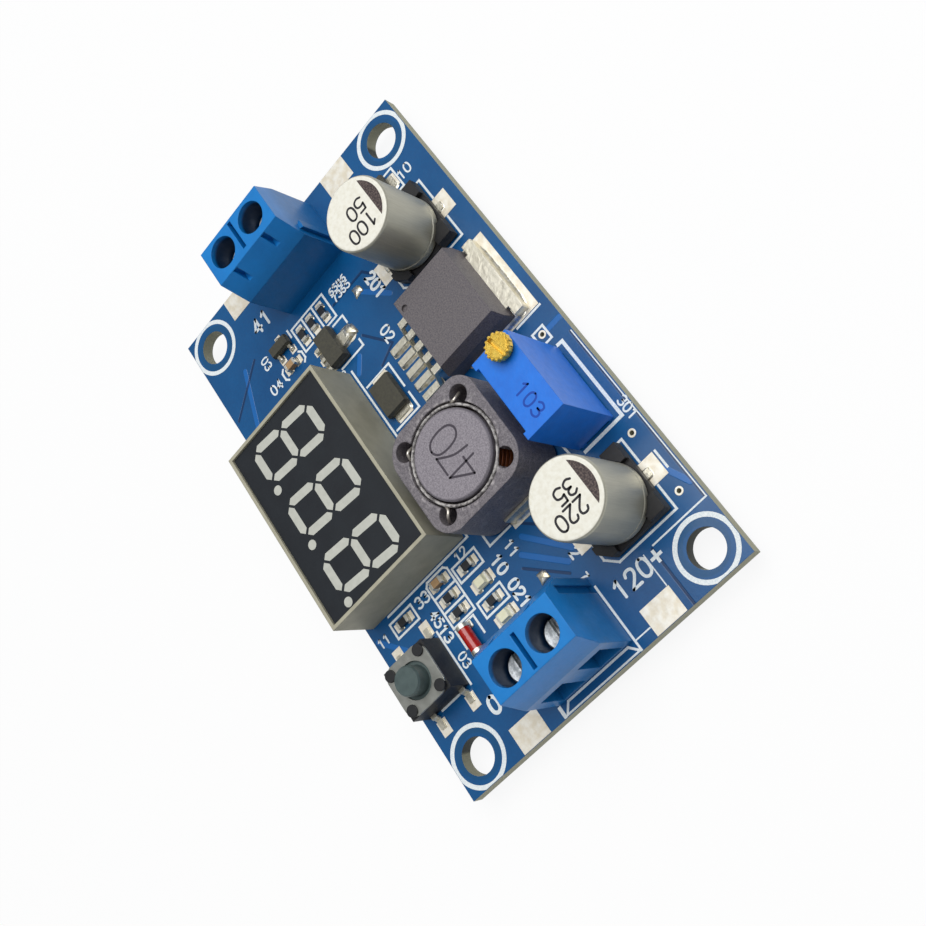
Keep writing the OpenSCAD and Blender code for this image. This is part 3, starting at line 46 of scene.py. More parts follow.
class Reading:
    """A number or colour on its way between the nodes of a finish. Arithmetic on it adds Math nodes."""

    def __init__(self, finish, socket):
        self.finish, self.socket = finish, socket

    def maths(self, operation, *given):
        return self.finish.add("Math", {"operation": operation}, *given)

    def __add__(self, other):
        return self.maths("ADD", self, other)

    def __mul__(self, other):
        return self.maths("MULTIPLY", self, other)

    def __sub__(self, other):
        return self.maths("SUBTRACT", self, other)

    def __rsub__(self, other):
        return self.maths("SUBTRACT", other, self)

    def __truediv__(self, other):
        return self.maths("DIVIDE", self, other)

    def __pow__(self, other):
        return self.maths("POWER", self, other)

    def __abs__(self):
        return self.maths("ABSOLUTE", self)

    __radd__, __rmul__ = __add__, __mul__

    def rising(self, low, high):
        """0 up to low, 1 from high on, and a smooth rise between."""
        return self.finish.add("MapRange", {"interpolation_type": "SMOOTHSTEP"}, self, low, high)


class Finish:
    """A finish for one kind of surface. Even values go straight on its shader, and add() makes every
    other node."""

    def __init__(self, name, **even):
        self.made = bpy.data.materials.new(name)
        self.made.use_nodes = True
        self.tree = self.made.node_tree
        self.shader = self.tree.nodes["Principled BSDF"]
        for socket, value in even.items():
            self.shader.inputs[socket.replace("_", " ")].default_value = value

    def add(self, kind, settings=None, *given, give=0, **named):
        node = self.tree.nodes.new("ShaderNode" + kind)
        for key, value in (settings or {}).items():
            setattr(node, key, value)
        for place, value in [*enumerate(given), *named.items()]:
            socket = node.inputs[place] if isinstance(place, int) else next(
                s for s in node.inputs if s.identifier == place)
            if isinstance(value, Reading):
                self.tree.links.new(value.socket, socket)
            else:
                socket.default_value = value
        out = node.outputs[give] if isinstance(give, int) else next(
            s for s in node.outputs if s.identifier == give)
        return Reading(self, out)

    def spot(self):
        """Where a point of the surface is on the object, in metres."""
        return self.add("TexCoord", None, give="Object")

    def places(self):
        """The same as three separate numbers."""
        xyz = self.add("SeparateXYZ", None, self.spot())
        return [xyz, *(Reading(self, xyz.socket.node.outputs[i]) for i in (1, 2))]

    def mottle(self, size, detail=3.0, stretch=(1, 1, 1), rough=0.55):
        """Cloudy noise from 0 to 1 whose blotches are about size metres across."""
        spot = self.add("VectorMath", {"operation": "MULTIPLY"}, self.spot(), stretch)
        return self.add("TexNoise", None, Vector=spot, Scale=1 / size, Detail=detail, Roughness=rough)

    def mixed(self, share, one, other):
        """The first colour where share is 0, the other where it is 1."""
        return self.add("Mix", {"data_type": "RGBA"}, Factor_Float=share, A_Color=one, B_Color=other,
                        give="Result_Color")

    def relief(self, height, depth, over=None):
        """Small hills as tall as depth in metres where height is 1."""
        under = {} if over is None else {"Normal": over}
        return self.add("Bump", None, Height=height, Distance=depth, **under)

    def from_axis(self, spots):
        """Distance to the nearest of several upright axes, given as (x, y) in millimetres."""
        x, y, _ = self.places()
        found = None
        for sx, sy in spots:
            reach = ((x - sx * mm) ** 2.0 + (y - sy * mm) ** 2.0) ** 0.5
            found = reach if found is None else self.add("Math", {"operation": "MINIMUM"}, found, reach)
        return found

    def from_lines(self, lines):
        """Distance to the nearest of several straight lines (x0, y0, x1, y1), in millimetres seen from
        above:
        each point is taken to the line's nearest point, which is where the foot of its upright falls, held
        between the line's two ends."""
        x, y, _ = self.places()
        found = None
        for x0, y0, x1, y1 in lines:
            length = ((x1 - x0) ** 2 + (y1 - y0) ** 2) ** 0.5
            east, north = (x1 - x0) / length, (y1 - y0) / length
            dx, dy = x - x0 * mm, y - y0 * mm
            foot = self.add("Clamp", None, dx * east + dy * north, 0.0, length * mm)
            reach = ((dx - foot * east) ** 2.0 + (dy - foot * north) ** 2.0) ** 0.5
            found = reach if found is None else self.add("Math", {"operation": "MINIMUM"}, found, reach)
        return found

    def soft_edges(self, radius):
        """The surface direction with its sharp edges rounded to that radius."""
        return self.add("Bevel", {"samples": 4}, Radius=radius)

    def feed(self, **varying):
        for name, reading in varying.items():
            self.tree.links.new(reading.socket, self.shader.inputs[name.replace("_", " ")])
        return self

    def on(self, *names):
        for name in names:
            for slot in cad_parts[name].material_slots:
                slot.material = self.made
        return self


def tone(red, green, blue):
    """A colour from screen values 0 to 255, made linear by the screen's curve."""
    v = np.array([red, green, blue]) / 255
    linear = np.where(v <= 0.04045, v / 12.92, ((v + 0.055) / 1.055) ** 2.4)
    return (*(float(c) for c in linear), 1.0)


board_low, board_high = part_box("circuit_board")
board_top, board_bottom = board_high.z, board_low.z

mounting_holes = [(sx * 29.45, sy * 15.95) for sx in (-1, 1) for sy in (-1, 1)]
tracks = [(16, 1.9, 20.6, 5.6), (17.4, 0.7, 21.4, 4.4), (20.8, 17.6, 24, 19), (-13.1, -1.2, -11.6, -2.5),
          (-19, 3.2, -15.5, 6.2), (-26, 4.4, -21, 8), (13, -19, 16, -16.6), (23, -6, 27, -9),
          (-24, -14.5, -14, -18.5), (1.95, 16.7, 1.95, 19.2)]
bare_gaps = [(-20.3, -0.2, -20.3, 5), (-20.3, 5, -13.5, 9.5), (-14.6, 0.6, -11, 3), (-11, 3, -10, 0.4),
             (14.8, -13.2, 26, -13.2), (14.6, 2.4, 19.4, 7.2), (18.6, 0, 22.4, 3.8), (26.3, 12, 33, 12),
             (-33, 3.6, -24, 5.2), (-24, -12.6, -20, -18.9), (23, -3, 28, -7.5), (4, 19.2, 26, 19.2)]

lacquer = Finish("blue_lacquer_board", Specular_IOR_Level=0.45, Coat_Roughness=0.16)
x, y, z = lacquer.places()
is_face = 1 - abs(z - (board_top + board_bottom) / 2).rising(0.77 * mm, 0.785 * mm)
hole_reach = lacquer.from_axis(mounting_holes)
# Painted shade: inside the mounting holes the bare laminate is painted nearly black, standing in for the
# shadow on the hole walls.
hole_wall_shade = 1 - hole_reach.rising(1.95 * mm, 2.05 * mm)
hole_land = hole_reach.rising(1.9 * mm, 2.0 * mm) * (1 - hole_reach.rising(2.75 * mm, 2.85 * mm))
track = 1 - lacquer.from_lines(tracks).rising(0.27 * mm, 0.36 * mm)
gap = 1 - lacquer.from_lines(bare_gaps).rising(0.12 * mm, 0.2 * mm)
blue = lacquer.mixed(lacquer.mottle(7 * mm, 2), tone(0, 56, 106), tone(0, 88, 146))
blue = lacquer.mixed(lacquer.mottle(0.3 * mm, 4) * 0.3, blue, tone(6, 108, 168))
blue = lacquer.mixed(hole_land * 0.6, blue, tone(8, 74, 116))
blue = lacquer.mixed(track * 0.55, blue, tone(22, 112, 196))
blue = lacquer.mixed(gap * 0.7, blue, tone(0, 26, 66))
layers = abs(lacquer.add("Math", {"operation": "SINE"}, z / (0.06 * mm) + lacquer.mottle(0.8 * mm) * 3))
resin = lacquer.mixed(lacquer.mottle(0.15 * mm, 4, (1, 1, 3)), tone(146, 144, 120), tone(194, 192, 168))
resin = lacquer.mixed(layers * 0.4, resin, tone(118, 120, 100))
resin = lacquer.mixed(hole_wall_shade * 0.85, resin, tone(4, 26, 38))
lacquer.feed(
    Base_Color=lacquer.mixed(is_face, blue, resin),
    Roughness=is_face * 0.4 + lacquer.mottle(1.5 * mm) * 0.14 + 0.26,
    Coat_Weight=0.2 - is_face * 0.2,
    Normal=lacquer.relief(lacquer.mottle(0.3 * mm, 3) * 0.3 + track * 1.4 - gap * 1.2, 0.02 * mm,
                          lacquer.soft_edges(0.08 * mm)))
lacquer.on("circuit_board")

# ---- Printed marks
# White outlines, rings and lines screen-printed on the lacquer to show where each part
# goes. The ink stands a few hundredths of a millimetre proud and is slightly porous.

ink = Finish("white_ink_print", Specular_IOR_Level=0.35)
ink.feed(
    Base_Color=ink.mixed(ink.mottle(0.12 * mm, 4).rising(0.3, 0.75), tone(214, 224, 228), tone(246, 248,
                                                                                               246)),
    Roughness=ink.mottle(0.2 * mm) * 0.25 + 0.5,
    Normal=ink.relief(ink.mottle(0.08 * mm, 4), 0.01 * mm))
ink.on("printed_marks")


def skin(name, finish, body, grids, smooth=True):
    """One mesh from several grids of points, each with a row for every first parameter and a column for
    every
    second. Four neighbours make a face, and points that fall on each other are joined."""
    corners, start = [], 0
    for grid in grids:
        index = start + np.arange(grid.shape[0] * grid.shape[1]).reshape(grid.shape[:2])
        corners.append(np.stack([index[:-1, :-1], index[1:, :-1], index[1:, 1:], index[:-1, 1:]],
                                -1).reshape(-1, 4))
        start += index.size
    mesh = bpy.data.meshes.new(name)
    mesh.from_pydata(np.concatenate([grid.reshape(-1, 3) for grid in grids]).tolist(), [],
                     np.concatenate(corners).tolist())
    joined = bmesh.new()
    joined.from_mesh(mesh)
    bmesh.ops.remove_doubles(joined, verts=joined.verts, dist=1e-7)
    bmesh.ops.recalc_face_normals(joined, faces=joined.faces)
    joined.to_mesh(mesh)
    joined.free()
    mesh.polygons.foreach_set("use_smooth", np.full(len(mesh.polygons), smooth))
    mesh.materials.append(finish.made)
    piece = bpy.data.objects.new(name, mesh)
    bpy.context.scene.collection.objects.link(piece)
    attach(piece, body)
    return piece


def curved(points, steps=4):
    """A smooth line through the points. On each stretch it is the cubic whose slope at either end is
    half the
    chord between that point's neighbours. A line that ends where it starts runs on round."""
    p = np.array(points, float)
    closed = np.allclose(p[0], p[-1])
    p = np.vstack([p[-2] if closed else 2 * p[0] - p[1], p, p[1] if closed else 2 * p[-1] - p[-2]])
    a, b, c, d = (p[i:len(p) - 3 + i, None] for i in range(4))
    t = (np.arange(steps) / steps)[None, :, None]
    line = (2 * b + (c - a) * t + (2 * a - 5 * b + 4 * c - d) * t ** 2 + (3 * b - a - 3 * c + d) * t ** 3) / 2
    return np.vstack([line.reshape(-1, p.shape[1]), p[-2]])


def ribbon(line, width, low, high):
    """A flat raised line with round ends: at every point of the line a box profile from low up to high,
    half
    the width to either side. Past each end the half width falls as the cosine of an angle while the profile
    moves on by its sine."""
    along = np.gradient(line, axis=0)
    along /= np.linalg.norm(along, axis=1, keepdims=True)
    turn = np.radians([90, 60, 30])[:, None]
    line = np.vstack([line[0] - along[0] * np.sin(turn) * width / 2, line,
                      line[-1] + along[-1] * np.sin(turn[::-1]) * width / 2])
    along = np.vstack([along[:1].repeat(3, 0), along, along[-1:].repeat(3, 0)])
    half = np.concatenate([np.cos(turn[:, 0]), np.ones(len(line) - 6), np.cos(turn[::-1, 0])]) * width / 2
    aside = np.stack([-along[:, 1], along[:, 0]], -1) * half[:, None]
    rows = [np.column_stack([line + side * aside, np.full(len(line), level)])
            for side, level in ((1, low), (1, high), (-1, high), (-1, low), (1, low))]
    return np.stack(rows, 1)


# Every digit as pen strokes in a cell 0.6 wide and 1 tall
pen_strokes = {
    "0": [[(.3, 1), (.53, .86), (.6, .5), (.53, .14), (.3, 0), (.07, .14), (0, .5), (.07, .86), (.3, 1)]],
    "1": [[(.08, .78), (.32, 1)], [(.32, 1), (.32, 0)]],
    "2": [[(.02, .76), (.1, .94), (.3, 1), (.52, .92), (.56, .7), (.42, .46), (0, 0)], [(0, 0), (.6, 0)]],
    "3": [[(.02, .86), (.26, 1), (.54, .88), (.52, .62), (.24, .53)],
          [(.24, .53), (.56, .44), (.58, .14), (.28, 0), (0, .13)]],
    "4": [[(.45, 0), (.45, 1)], [(.45, 1), (0, .3)], [(0, .3), (.6, .3)]],
    "5": [[(.55, 1), (.08, 1)], [(.08, 1), (.04, .56)],
          [(.04, .56), (.3, .63), (.57, .5), (.57, .14), (.28, 0), (0, .11)]],
    "6": [[(.52, .95), (.22, .88), (.03, .5), (.07, .12), (.3, 0), (.57, .14), (.54, .46), (.3, .57),
           (.05, .4)]],
    "7": [[(0, 1), (.6, 1)], [(.6, 1), (.3, .5), (.2, 0)]],
    "8": [[(.3, 1), (.54, .86), (.5, .6), (.3, .53), (.1, .6), (.06, .86), (.3, 1)],
          [(.3, .53), (.56, .4), (.56, .12), (.3, 0), (.04, .12), (.04, .4), (.3, .53)]],
    "9": [[(.08, .05), (.38, .12), (.57, .5), (.53, .88), (.3, 1), (.03, .86), (.06, .54), (.3, .43),
           (.55, .6)]]}


def numerals(text, middle, reads, tall, pen, level, pitch=0.85, thick=0.02):
    """Plain numbers as raised lines in millimetres. A digit's cell is turned to read towards the angle
    reads,
    and the cells follow each other at pitch times their height."""
    angle = np.radians(reads)
    across, up = np.array([np.cos(angle), np.sin(angle)]), np.array([-np.sin(angle), np.cos(angle)])
    start = np.array(middle) - across * tall * ((len(text) - 1) * pitch + 0.6) / 2 - up * tall / 2
    return [ribbon((start + (curved(stroke) + (place * pitch, 0)) @ (np.stack([across, up]) * tall)) * mm,
                   pen * mm, level - 0.01 * mm, level + thick * mm)
            for place, digit in enumerate(text) for stroke in pen_strokes[digit]]


small, bold = (1.05, 0.2), (1.3, 0.3)
printed_numbers = [
    ("301", (14.2, 18.85), 0, *small), ("120", (27.1, 8.65), 90, 1.9, 0.32), ("0", (26.95, -11.35), 90,
                                                                              1.8, 0.42),
    ("11", (16.15, 0.3), 0, 1.1, 0.24), ("10", (16.5, -1.85), 0, *bold), ("021", (20.2, -1.85), 0, *bold),
    ("2", (21.2, 5.55), 0, 1.2, 0.26), ("7", (23.7, 4.85), 0, 0.8, 0.2), ("12", (12.6, -4.85), 90, *small),
    ("33", (13.15, -11.6), 90, 1.2, 0.24), ("4513", (16.85, -11.4), 0, 1.15, 0.26), ("03", (21.3, -11.3),
                                                                                     0, *small),
    ("11", (13.4, -18.3), 90, *small), ("10", (-24.65, 16.1), 90, 1.2, 0.2), ("201", (-17.75, 5.45), 0,
                                                                              1.35, 0.34),
    ("02", (-12.3, 3.15), 0, 1.25, 0.24), ("6586", (-21.75, 1.6), 90, 0.85, 0.2), ("7365", (-20.75, 1.6),
                                                                                   90, 0.85, 0.2),
    ("9", (-13.2, -4.15), 0, 0.8, 0.18), ("41", (-26.8, -9), 90, 1.9, 0.34), ("03", (-22.3, -11.5), 0,
                                                                              *small),
    ("04", (-19, -12.1), 90, 1.2, 0.22)]
skin("board_numbers", ink, "board_assembly",
     [grid for number in printed_numbers for grid in numerals(*number, board_top)], smooth=False)

# ---- Solder lands
# Bare copper areas left open in the lacquer, levelled with hot tin so the parts can be
# soldered to them. The tin is silvery, uneven and a little yellow from the flux.

tinned = Finish("tinned_lands", Metallic=0.35)
lumps = tinned.mottle(0.9 * mm, 3)
tinned.feed(
    Base_Color=tinned.mixed(lumps.rising(0.3, 0.7), tone(232, 222, 200), tone(248, 244, 232)),
    Roughness=tinned.mottle(0.4 * mm) * 0.25 + 0.34,
    Normal=tinned.relief(lumps, 0.03 * mm, tinned.soft_edges(0.04 * mm)))
tinned.on("solder_lands")

# ---- Solder joints
# Cones of solder drawn up round each pin under the board, bright and smooth where the
# metal froze, with a dull ring of flux at the foot.

solder = Finish("bright_solder", Metallic=0.9)
solder.feed(
    Base_Color=solder.mixed(solder.mottle(0.5 * mm).rising(0.35, 0.7), tone(232, 230, 222), tone(196, 186,
                                                                                                 156)),
    Roughness=solder.mottle(0.35 * mm) * 0.25 + 0.2,
    Normal=solder.relief(solder.mottle(0.5 * mm, 2), 0.03 * mm))
solder.on("solder_joints")


def lumps_of(name):
    """Lowest and highest corners of every separate lump of a node, as two arrays. Each point of the node
    keeps
    the smallest number that any face sharing it holds, over and over, until no number changes."""
    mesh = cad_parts[name].data
    points = np.empty(3 * len(mesh.vertices))
    mesh.vertices.foreach_get("co", points)
    points = points.reshape(-1, 3)
    same = np.unique(np.round(points / (0.001 * mm)), axis=0, return_inverse=True)[1].reshape(-1)
    corners = np.empty(len(mesh.loops), int)
    mesh.loops.foreach_get("vertex_index", corners)
    corners = same[corners].reshape(-1, 3)
    number, before = np.arange(same.max() + 1), None
    while before is None or (number != before).any():
        before = number.copy()
        np.minimum.at(number, corners.ravel(), number[corners].min(1).repeat(3))
        number = number[number]
    kept, lump = np.unique(number[same], return_inverse=True)
    low, high = np.full((len(kept), 3), np.inf), np.full((len(kept), 3), -np.inf)
    np.minimum.at(low, lump, points)
    np.maximum.at(high, lump, points)
    return points, lump, low, high


def feet_of(name, face, side):
    """Footprints of the lumps of a node that stand on one face of the board: middle, half sizes and
    height."""
    points, lump, low, high = lumps_of(name)
    near = side * (points[:, 2] - face) < 0.3 * mm
    foot_low, foot_high = np.full((len(low), 2), np.inf), np.full((len(low), 2), -np.inf)
    np.minimum.at(foot_low, lump[near], points[near, :2])
    np.maximum.at(foot_high, lump[near], points[near, :2])
    stands = (low[:, 2] if side > 0 else -high[:, 2]) > side * face - 0.1 * mm
    stands &= np.isfinite(foot_low).all(1)
    tall = (high - low)[:, 2]
    return ((foot_low + foot_high) / 2)[stands], ((foot_high - foot_low) / 2)[stands], tall[stands]


def mounds(middles, halves, tall, face, side, reach, profile, seed):
    """Mounds of solder round rectangles. Round each one runs a closed curve, the rectangle's half sizes
    times
    the cube roots of cosine and sine. The profile gives, from its crown to its foot, how far the curve
    has grown
    out, as a share of reach, and how high it stands, as a share of tall. Slow waves make each one a
    little uneven."""
    angle = np.linspace(0, 2 * np.pi, 25)
    round_box = np.cbrt(np.stack([np.cos(angle), np.sin(angle)], -1))
    uneven = 1 + 0.16 * np.sin(3 * angle + np.random.default_rng(seed).uniform(0, 6.28, (len(middles), 1)))
    grown = np.array([p[0] for p in profile])[None, :, None] * reach * uneven[:, None, :]
    sizes = halves[:, None, None, :] + grown[..., None]
    sizes[:, (0, -1)] = 0
    grids = np.empty((*grown.shape, 3))
    grids[..., :2] = middles[:, None, None, :] + sizes * round_box
    grids[..., 2] = face + side * tall[:, None, None] * np.array([p[1] for p in profile])[None, :, None]
    return list(grids)


fillet = [(0, 0.8), (0, 0.8), (0.15, 0.5), (0.4, 0.22), (0.75, 0.07), (1, 0.03), (1, -0.05), (0, -0.05)]
dome = [(0, 1), (0.35, 0.93), (0.65, 0.74), (0.88, 0.45), (1, 0.08), (1, -0.05), (0, -0.05)]
joints = []
for row, (name, reach) in enumerate((
        ("chip_ends", 0.2), ("glass_diode_caps", 0.25), ("regulator_leads", 0.28), ("diode_leads", 0.3),
        ("supply_regulator_leads", 0.25), ("transistor_leads", 0.22), ("input_capacitor_leads", 0.4),
        ("output_capacitor_leads", 0.4), ("inductor_terminals", 0.5), ("regulator_tab", 0.45))):
    middles, halves, tall = feet_of(name, board_top, 1)
    joints += mounds(middles, halves, np.minimum(tall, 0.55 * mm), board_top, 1, reach * mm, fillet, row)
middles, halves, tall = feet_of("display_driver_leads", board_bottom, -1)
joints += mounds(middles, halves, np.minimum(tall, 0.3 * mm), board_bottom, -1, 0.1 * mm, fillet, 50)
skin("surface_solder_joints", solder, "board_assembly", joints)

dots = np.array([(20.75, 1.25), (-19, 3.2), (-16.2, -0.6)]) * mm
dot_radius = np.array([0.6, 0.62, 0.98])[:, None] * mm
skin("solder_dots", solder, "board_assembly",
     [grid for spot, size, tall in zip(dots, dot_radius, (0.22, 0.24, 0.5))
      for grid in mounds(spot[None], np.zeros((1, 2)), np.array([tall * mm]), board_top, 1, size, dome, 7)])

# ---- Terminal blocks
# Two-way blocks moulded in azure polyamide, each joined to the next by a dovetail rib.
# Moulding leaves the faces very slightly wavy and the edges rounded.

screws = ("input_screw_1", "input_screw_2", "output_screw_1", "output_screw_2")
screw_middles = [(sum(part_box(name), Vector()) / 2) for name in screws]
screw_heads = [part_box(name)[1].z for name in screws]

azure = Finish("azure_terminal_plastic", Coat_Weight=0.15, Coat_Roughness=0.2, Specular_IOR_Level=0.4)
x, y, z = azure.places()
block_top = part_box("output_terminal_housing")[1].z
# Painted shade: inside each screw well, from just under its mouth downwards, the plastic is painted nearly
# black, standing in for the shade in the well.
well = 1 - azure.from_axis([(c.x / mm, c.y / mm) for c in screw_middles]).rising(2.0 * mm, 2.12 * mm)
well_shade = well * (1 - z.rising(block_top - 0.9 * mm, block_top - 0.3 * mm))
# Painted shade: the plastic is painted darker towards the board below about 12 mm, standing in for shade on
# the lower walls.
above = z.rising(9.2 * mm, 12.4 * mm)
plastic = azure.mixed(azure.mottle(3 * mm, 2), tone(0, 106, 178), tone(0, 128, 206))
plastic = azure.mixed(above, azure.mixed(azure.mottle(2 * mm), tone(0, 92, 150), tone(0, 106, 172)),
                      plastic)
azure.feed(
    Base_Color=azure.mixed(well_shade * 0.9, azure.mixed(azure.mottle(0.5 * mm, 4) * 0.25, plastic, tone(30,
                                                                                                      144,
                                                                                                      232)),
                           tone(0, 16, 40)),
    Roughness=azure.mottle(0.8 * mm) * 0.16 + 0.34,
    Normal=azure.relief(azure.mottle(0.35 * mm, 3), 0.012 * mm, azure.soft_edges(0.15 * mm)))
azure.on("input_terminal_housing", "output_terminal_housing")

# ---- Terminal contacts
# A tinned copper strip in each pole, folded so that its tail goes through the board and
# its flag stands over the wire.

strip_metal = Finish("tinned_strip", Metallic=1.0)
strip_metal.feed(
    Base_Color=strip_metal.mixed(strip_metal.mottle(0.5 * mm), tone(198, 194, 182), tone(226, 222, 210)),
    Roughness=strip_metal.mottle(0.2 * mm, 3, (1, 1, 0.2)) * 0.3 + 0.2,
    Normal=strip_metal.relief(strip_metal.mottle(0.12 * mm, 3, (1, 1, 0.15)), 0.006 * mm,
                              strip_metal.soft_edges(0.06 * mm)))
strip_metal.on("input_terminal_contacts", "output_terminal_contacts")

# ---- Terminal screws
# Steel screws with a slotted cheese head, turned and zinc plated. Each draws its clamp
# up from below, so it only turns and never rises.

for name, centre in zip(screws, screw_middles):
    zinc = Finish("zinc_" + name, Metallic=0.9)
    x, y, z = zinc.places()
    reach = zinc.from_axis([(centre.x / mm, centre.y / mm)])
    rings = zinc.add("Math", {"operation": "SINE"}, reach / (0.018 * mm) + zinc.mottle(0.6 * mm) * 4)
    # Painted shade: each screw is painted nearly black below the top of its head, standing in for the shade
    # in its well; only the head top keeps the plated colour.
    face = z.rising(screw_heads[0] - 0.7 * mm, screw_heads[0] - 0.1 * mm)
    plated = zinc.mixed(zinc.mottle(0.6 * mm, 4).rising(0.3, 0.65), tone(150, 156, 160), tone(240, 244,
                                                                                              246))
    zinc.feed(
        Base_Color=zinc.mixed(face, tone(24, 28, 34), plated),
        Roughness=zinc.mottle(0.25 * mm, 4) * 0.35 + 0.2,
        Normal=zinc.relief(rings * 0.5 + zinc.mottle(0.35 * mm, 3) * 2, 0.012 * mm,
                           zinc.soft_edges(0.1 * mm)))
    zinc.on(name)

# ---- Wire clamps
# Square cages bent from plated steel. The wire goes through the window under the fixed
# flag, and the rising cage grips it.

cage = Finish("plated_clamp", Metallic=1.0)
cage.feed(
    Base_Color=cage.mixed(cage.mottle(0.8 * mm), tone(170, 168, 158), tone(206, 204, 192)),
    Roughness=cage.mottle(0.3 * mm) * 0.3 + 0.28,
    Normal=cage.relief(cage.mottle(0.1 * mm, 3, (1, 1, 0.2)), 0.006 * mm, cage.soft_edges(0.08 * mm)))
cage.on("input_clamp_1", "input_clamp_2", "output_clamp_1", "output_clamp_2")

# ---- Capacitor cans
# Deep-drawn aluminium cups 8 mm across, crimped onto a rubber bung near the foot. The
# drawing leaves fine upright lines on the wall; the flat top is coated and printed.

for name in ("input_capacitor_can", "output_capacitor_can"):
    low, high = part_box(name)
    centre = (low + high) / 2
    can = Finish("drawn_" + name)
    x, y, z = can.places()
    on_top = z.rising(high.z - 0.1 * mm, high.z - 0.03 * mm)
    on_top *= 1 - can.from_axis([(centre.x / mm, centre.y / mm)]).rising(3.78 * mm, 3.9 * mm)
    wall = can.mixed(can.mottle(0.12 * mm, 3, (1, 1, 0.06)), tone(150, 148, 134), tone(186, 184, 170))
    wall = can.mixed(can.mottle(3 * mm, 2) * 0.4, wall, tone(196, 194, 178))
    coated = can.mixed(can.mottle(0.5 * mm, 4).rising(0.3, 0.8), tone(240, 238, 226), tone(228, 224, 208))
    can.feed(
        Base_Color=can.mixed(on_top, wall, coated),
        Metallic=0.6 - on_top * 0.6,
        Roughness=can.mottle(0.5 * mm, 3, (1, 1, 0.1)) * 0.15 + on_top * 0.12 + 0.34,
        Normal=can.relief(can.mottle(0.1 * mm, 2, (1, 1, 0.04)), 0.006 * mm))
    can.on(name)

# ---- Capacitor bases and leads
# A square plate of black polyamide under each can, with two flat leads folded outwards
# through it and a corner cut off at the positive end.

base_plastic = Finish("black_base_plastic")
base_plastic.feed(
    Base_Color=base_plastic.mixed(base_plastic.mottle(0.5 * mm), tone(14, 14, 16), tone(30, 29, 32)),
    Roughness=base_plastic.mottle(0.3 * mm) * 0.2 + 0.42,
    Normal=base_plastic.relief(base_plastic.mottle(0.1 * mm, 3), 0.01 * mm,
                               base_plastic.soft_edges(0.1 * mm)))
base_plastic.on("input_capacitor_base", "output_capacitor_base")

tin = Finish("tinned_leads", Metallic=0.9)
tin.feed(
    Base_Color=tin.mixed(tin.mottle(0.4 * mm, 3), tone(205, 199, 178), tone(240, 236, 220)),
    Roughness=tin.mottle(0.25 * mm) * 0.28 + 0.2,
    Normal=tin.relief(tin.mottle(0.3 * mm, 3), 0.02 * mm, tin.soft_edges(0.06 * mm)))
tin.on("input_capacitor_leads", "output_capacitor_leads", "regulator_leads", "diode_leads",
       "supply_regulator_leads", "transistor_leads", "inductor_terminals", "switch_legs",
       "display_driver_leads", "display_pins", "trimmer_pins")

# ---- Capacitor marks
# The dark segment printed on each can over its negative lead, and its values as plain
# numbers in black.

dark_ink = Finish("dark_can_ink", Specular_IOR_Level=0.35)
dark_ink.feed(
    Base_Color=dark_ink.mixed(dark_ink.mottle(0.18 * mm, 4).rising(0.35, 0.75), tone(52, 42, 44),
                              tone(112, 98, 92)),
    Roughness=dark_ink.mottle(0.15 * mm) * 0.25 + 0.4,
    Normal=dark_ink.relief(dark_ink.mottle(0.08 * mm), 0.006 * mm))
dark_ink.on("capacitor_marks")

can_ink = Finish("black_can_ink", Specular_IOR_Level=0.35)
can_ink.feed(
    Base_Color=can_ink.mixed(can_ink.mottle(0.15 * mm, 3), tone(18, 18, 24), tone(48, 46, 50)),
    Roughness=can_ink.mottle(0.15 * mm) * 0.2 + 0.4,
    Normal=can_ink.relief(can_ink.mottle(0.08 * mm), 0.005 * mm))
can_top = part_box("input_capacitor_can")[1].z
for owner, lines in (("input", (("100", (-15.95, 11.95)), ("50", (-18.1, 12.55)))),
                     ("output", (("220", (22.15, 11.4)), ("35", (20.15, 12.2))))):
    skin(owner + "_capacitor_values", can_ink, "board_assembly",
         [grid for text, middle in lines
          for grid in numerals(text, middle, -90, 1.6, 0.24, can_top, 0.8, 0.008)], smooth=False)

# ---- Power regulator
# A five-lead package moulded in black epoxy on a thick copper tab, which is soldered
# flat to the board to spread its heat. The epoxy is matt with a fine grain.

epoxy = Finish("grained_epoxy", Specular_IOR_Level=0.4)
flecks = epoxy.mottle(0.16 * mm, 5, rough=0.7)
epoxy.feed(
    Base_Color=epoxy.mixed(flecks.rising(0.3, 0.7), tone(80, 76, 82), tone(118, 112, 112)),
    Roughness=epoxy.mottle(0.5 * mm) * 0.15 + 0.45,
    Normal=epoxy.relief(epoxy.mottle(0.09 * mm, 3), 0.014 * mm, epoxy.soft_edges(0.12 * mm)))
epoxy.on("regulator_body")

dark_epoxy = Finish("dark_epoxy", Specular_IOR_Level=0.45)
dark_epoxy.feed(
    Base_Color=dark_epoxy.mixed(dark_epoxy.mottle(0.3 * mm, 5, rough=0.7), tone(40, 38, 38), tone(84, 82,
                                                                                                  66)),
    Roughness=dark_epoxy.mottle(0.5 * mm) * 0.15 + 0.42,
    Normal=dark_epoxy.relief(dark_epoxy.mottle(0.06 * mm, 3), 0.012 * mm, dark_epoxy.soft_edges(0.1 * mm)))
dark_epoxy.on("diode_bodies", "supply_regulator_body", "transistor_body", "display_driver_body")

tab = Finish("tinned_heat_tab", Metallic=0.9)
tab.feed(
    Base_Color=tab.mixed(tab.mottle(1.2 * mm, 4), tone(206, 200, 180), tone(242, 238, 224)),
    Roughness=tab.mottle(0.6 * mm) * 0.25 + 0.25,
    Normal=tab.relief(tab.mottle(0.6 * mm, 3), 0.04 * mm, tab.soft_edges(0.12 * mm)))
tab.on("regulator_tab")

# ---- Trimmer
# A multi-turn trimmer: a bright blue moulded cap over a white ceramic strip, with a
# brass screw that turns a worm wheel inside. The cap is stuck on its base with resin.

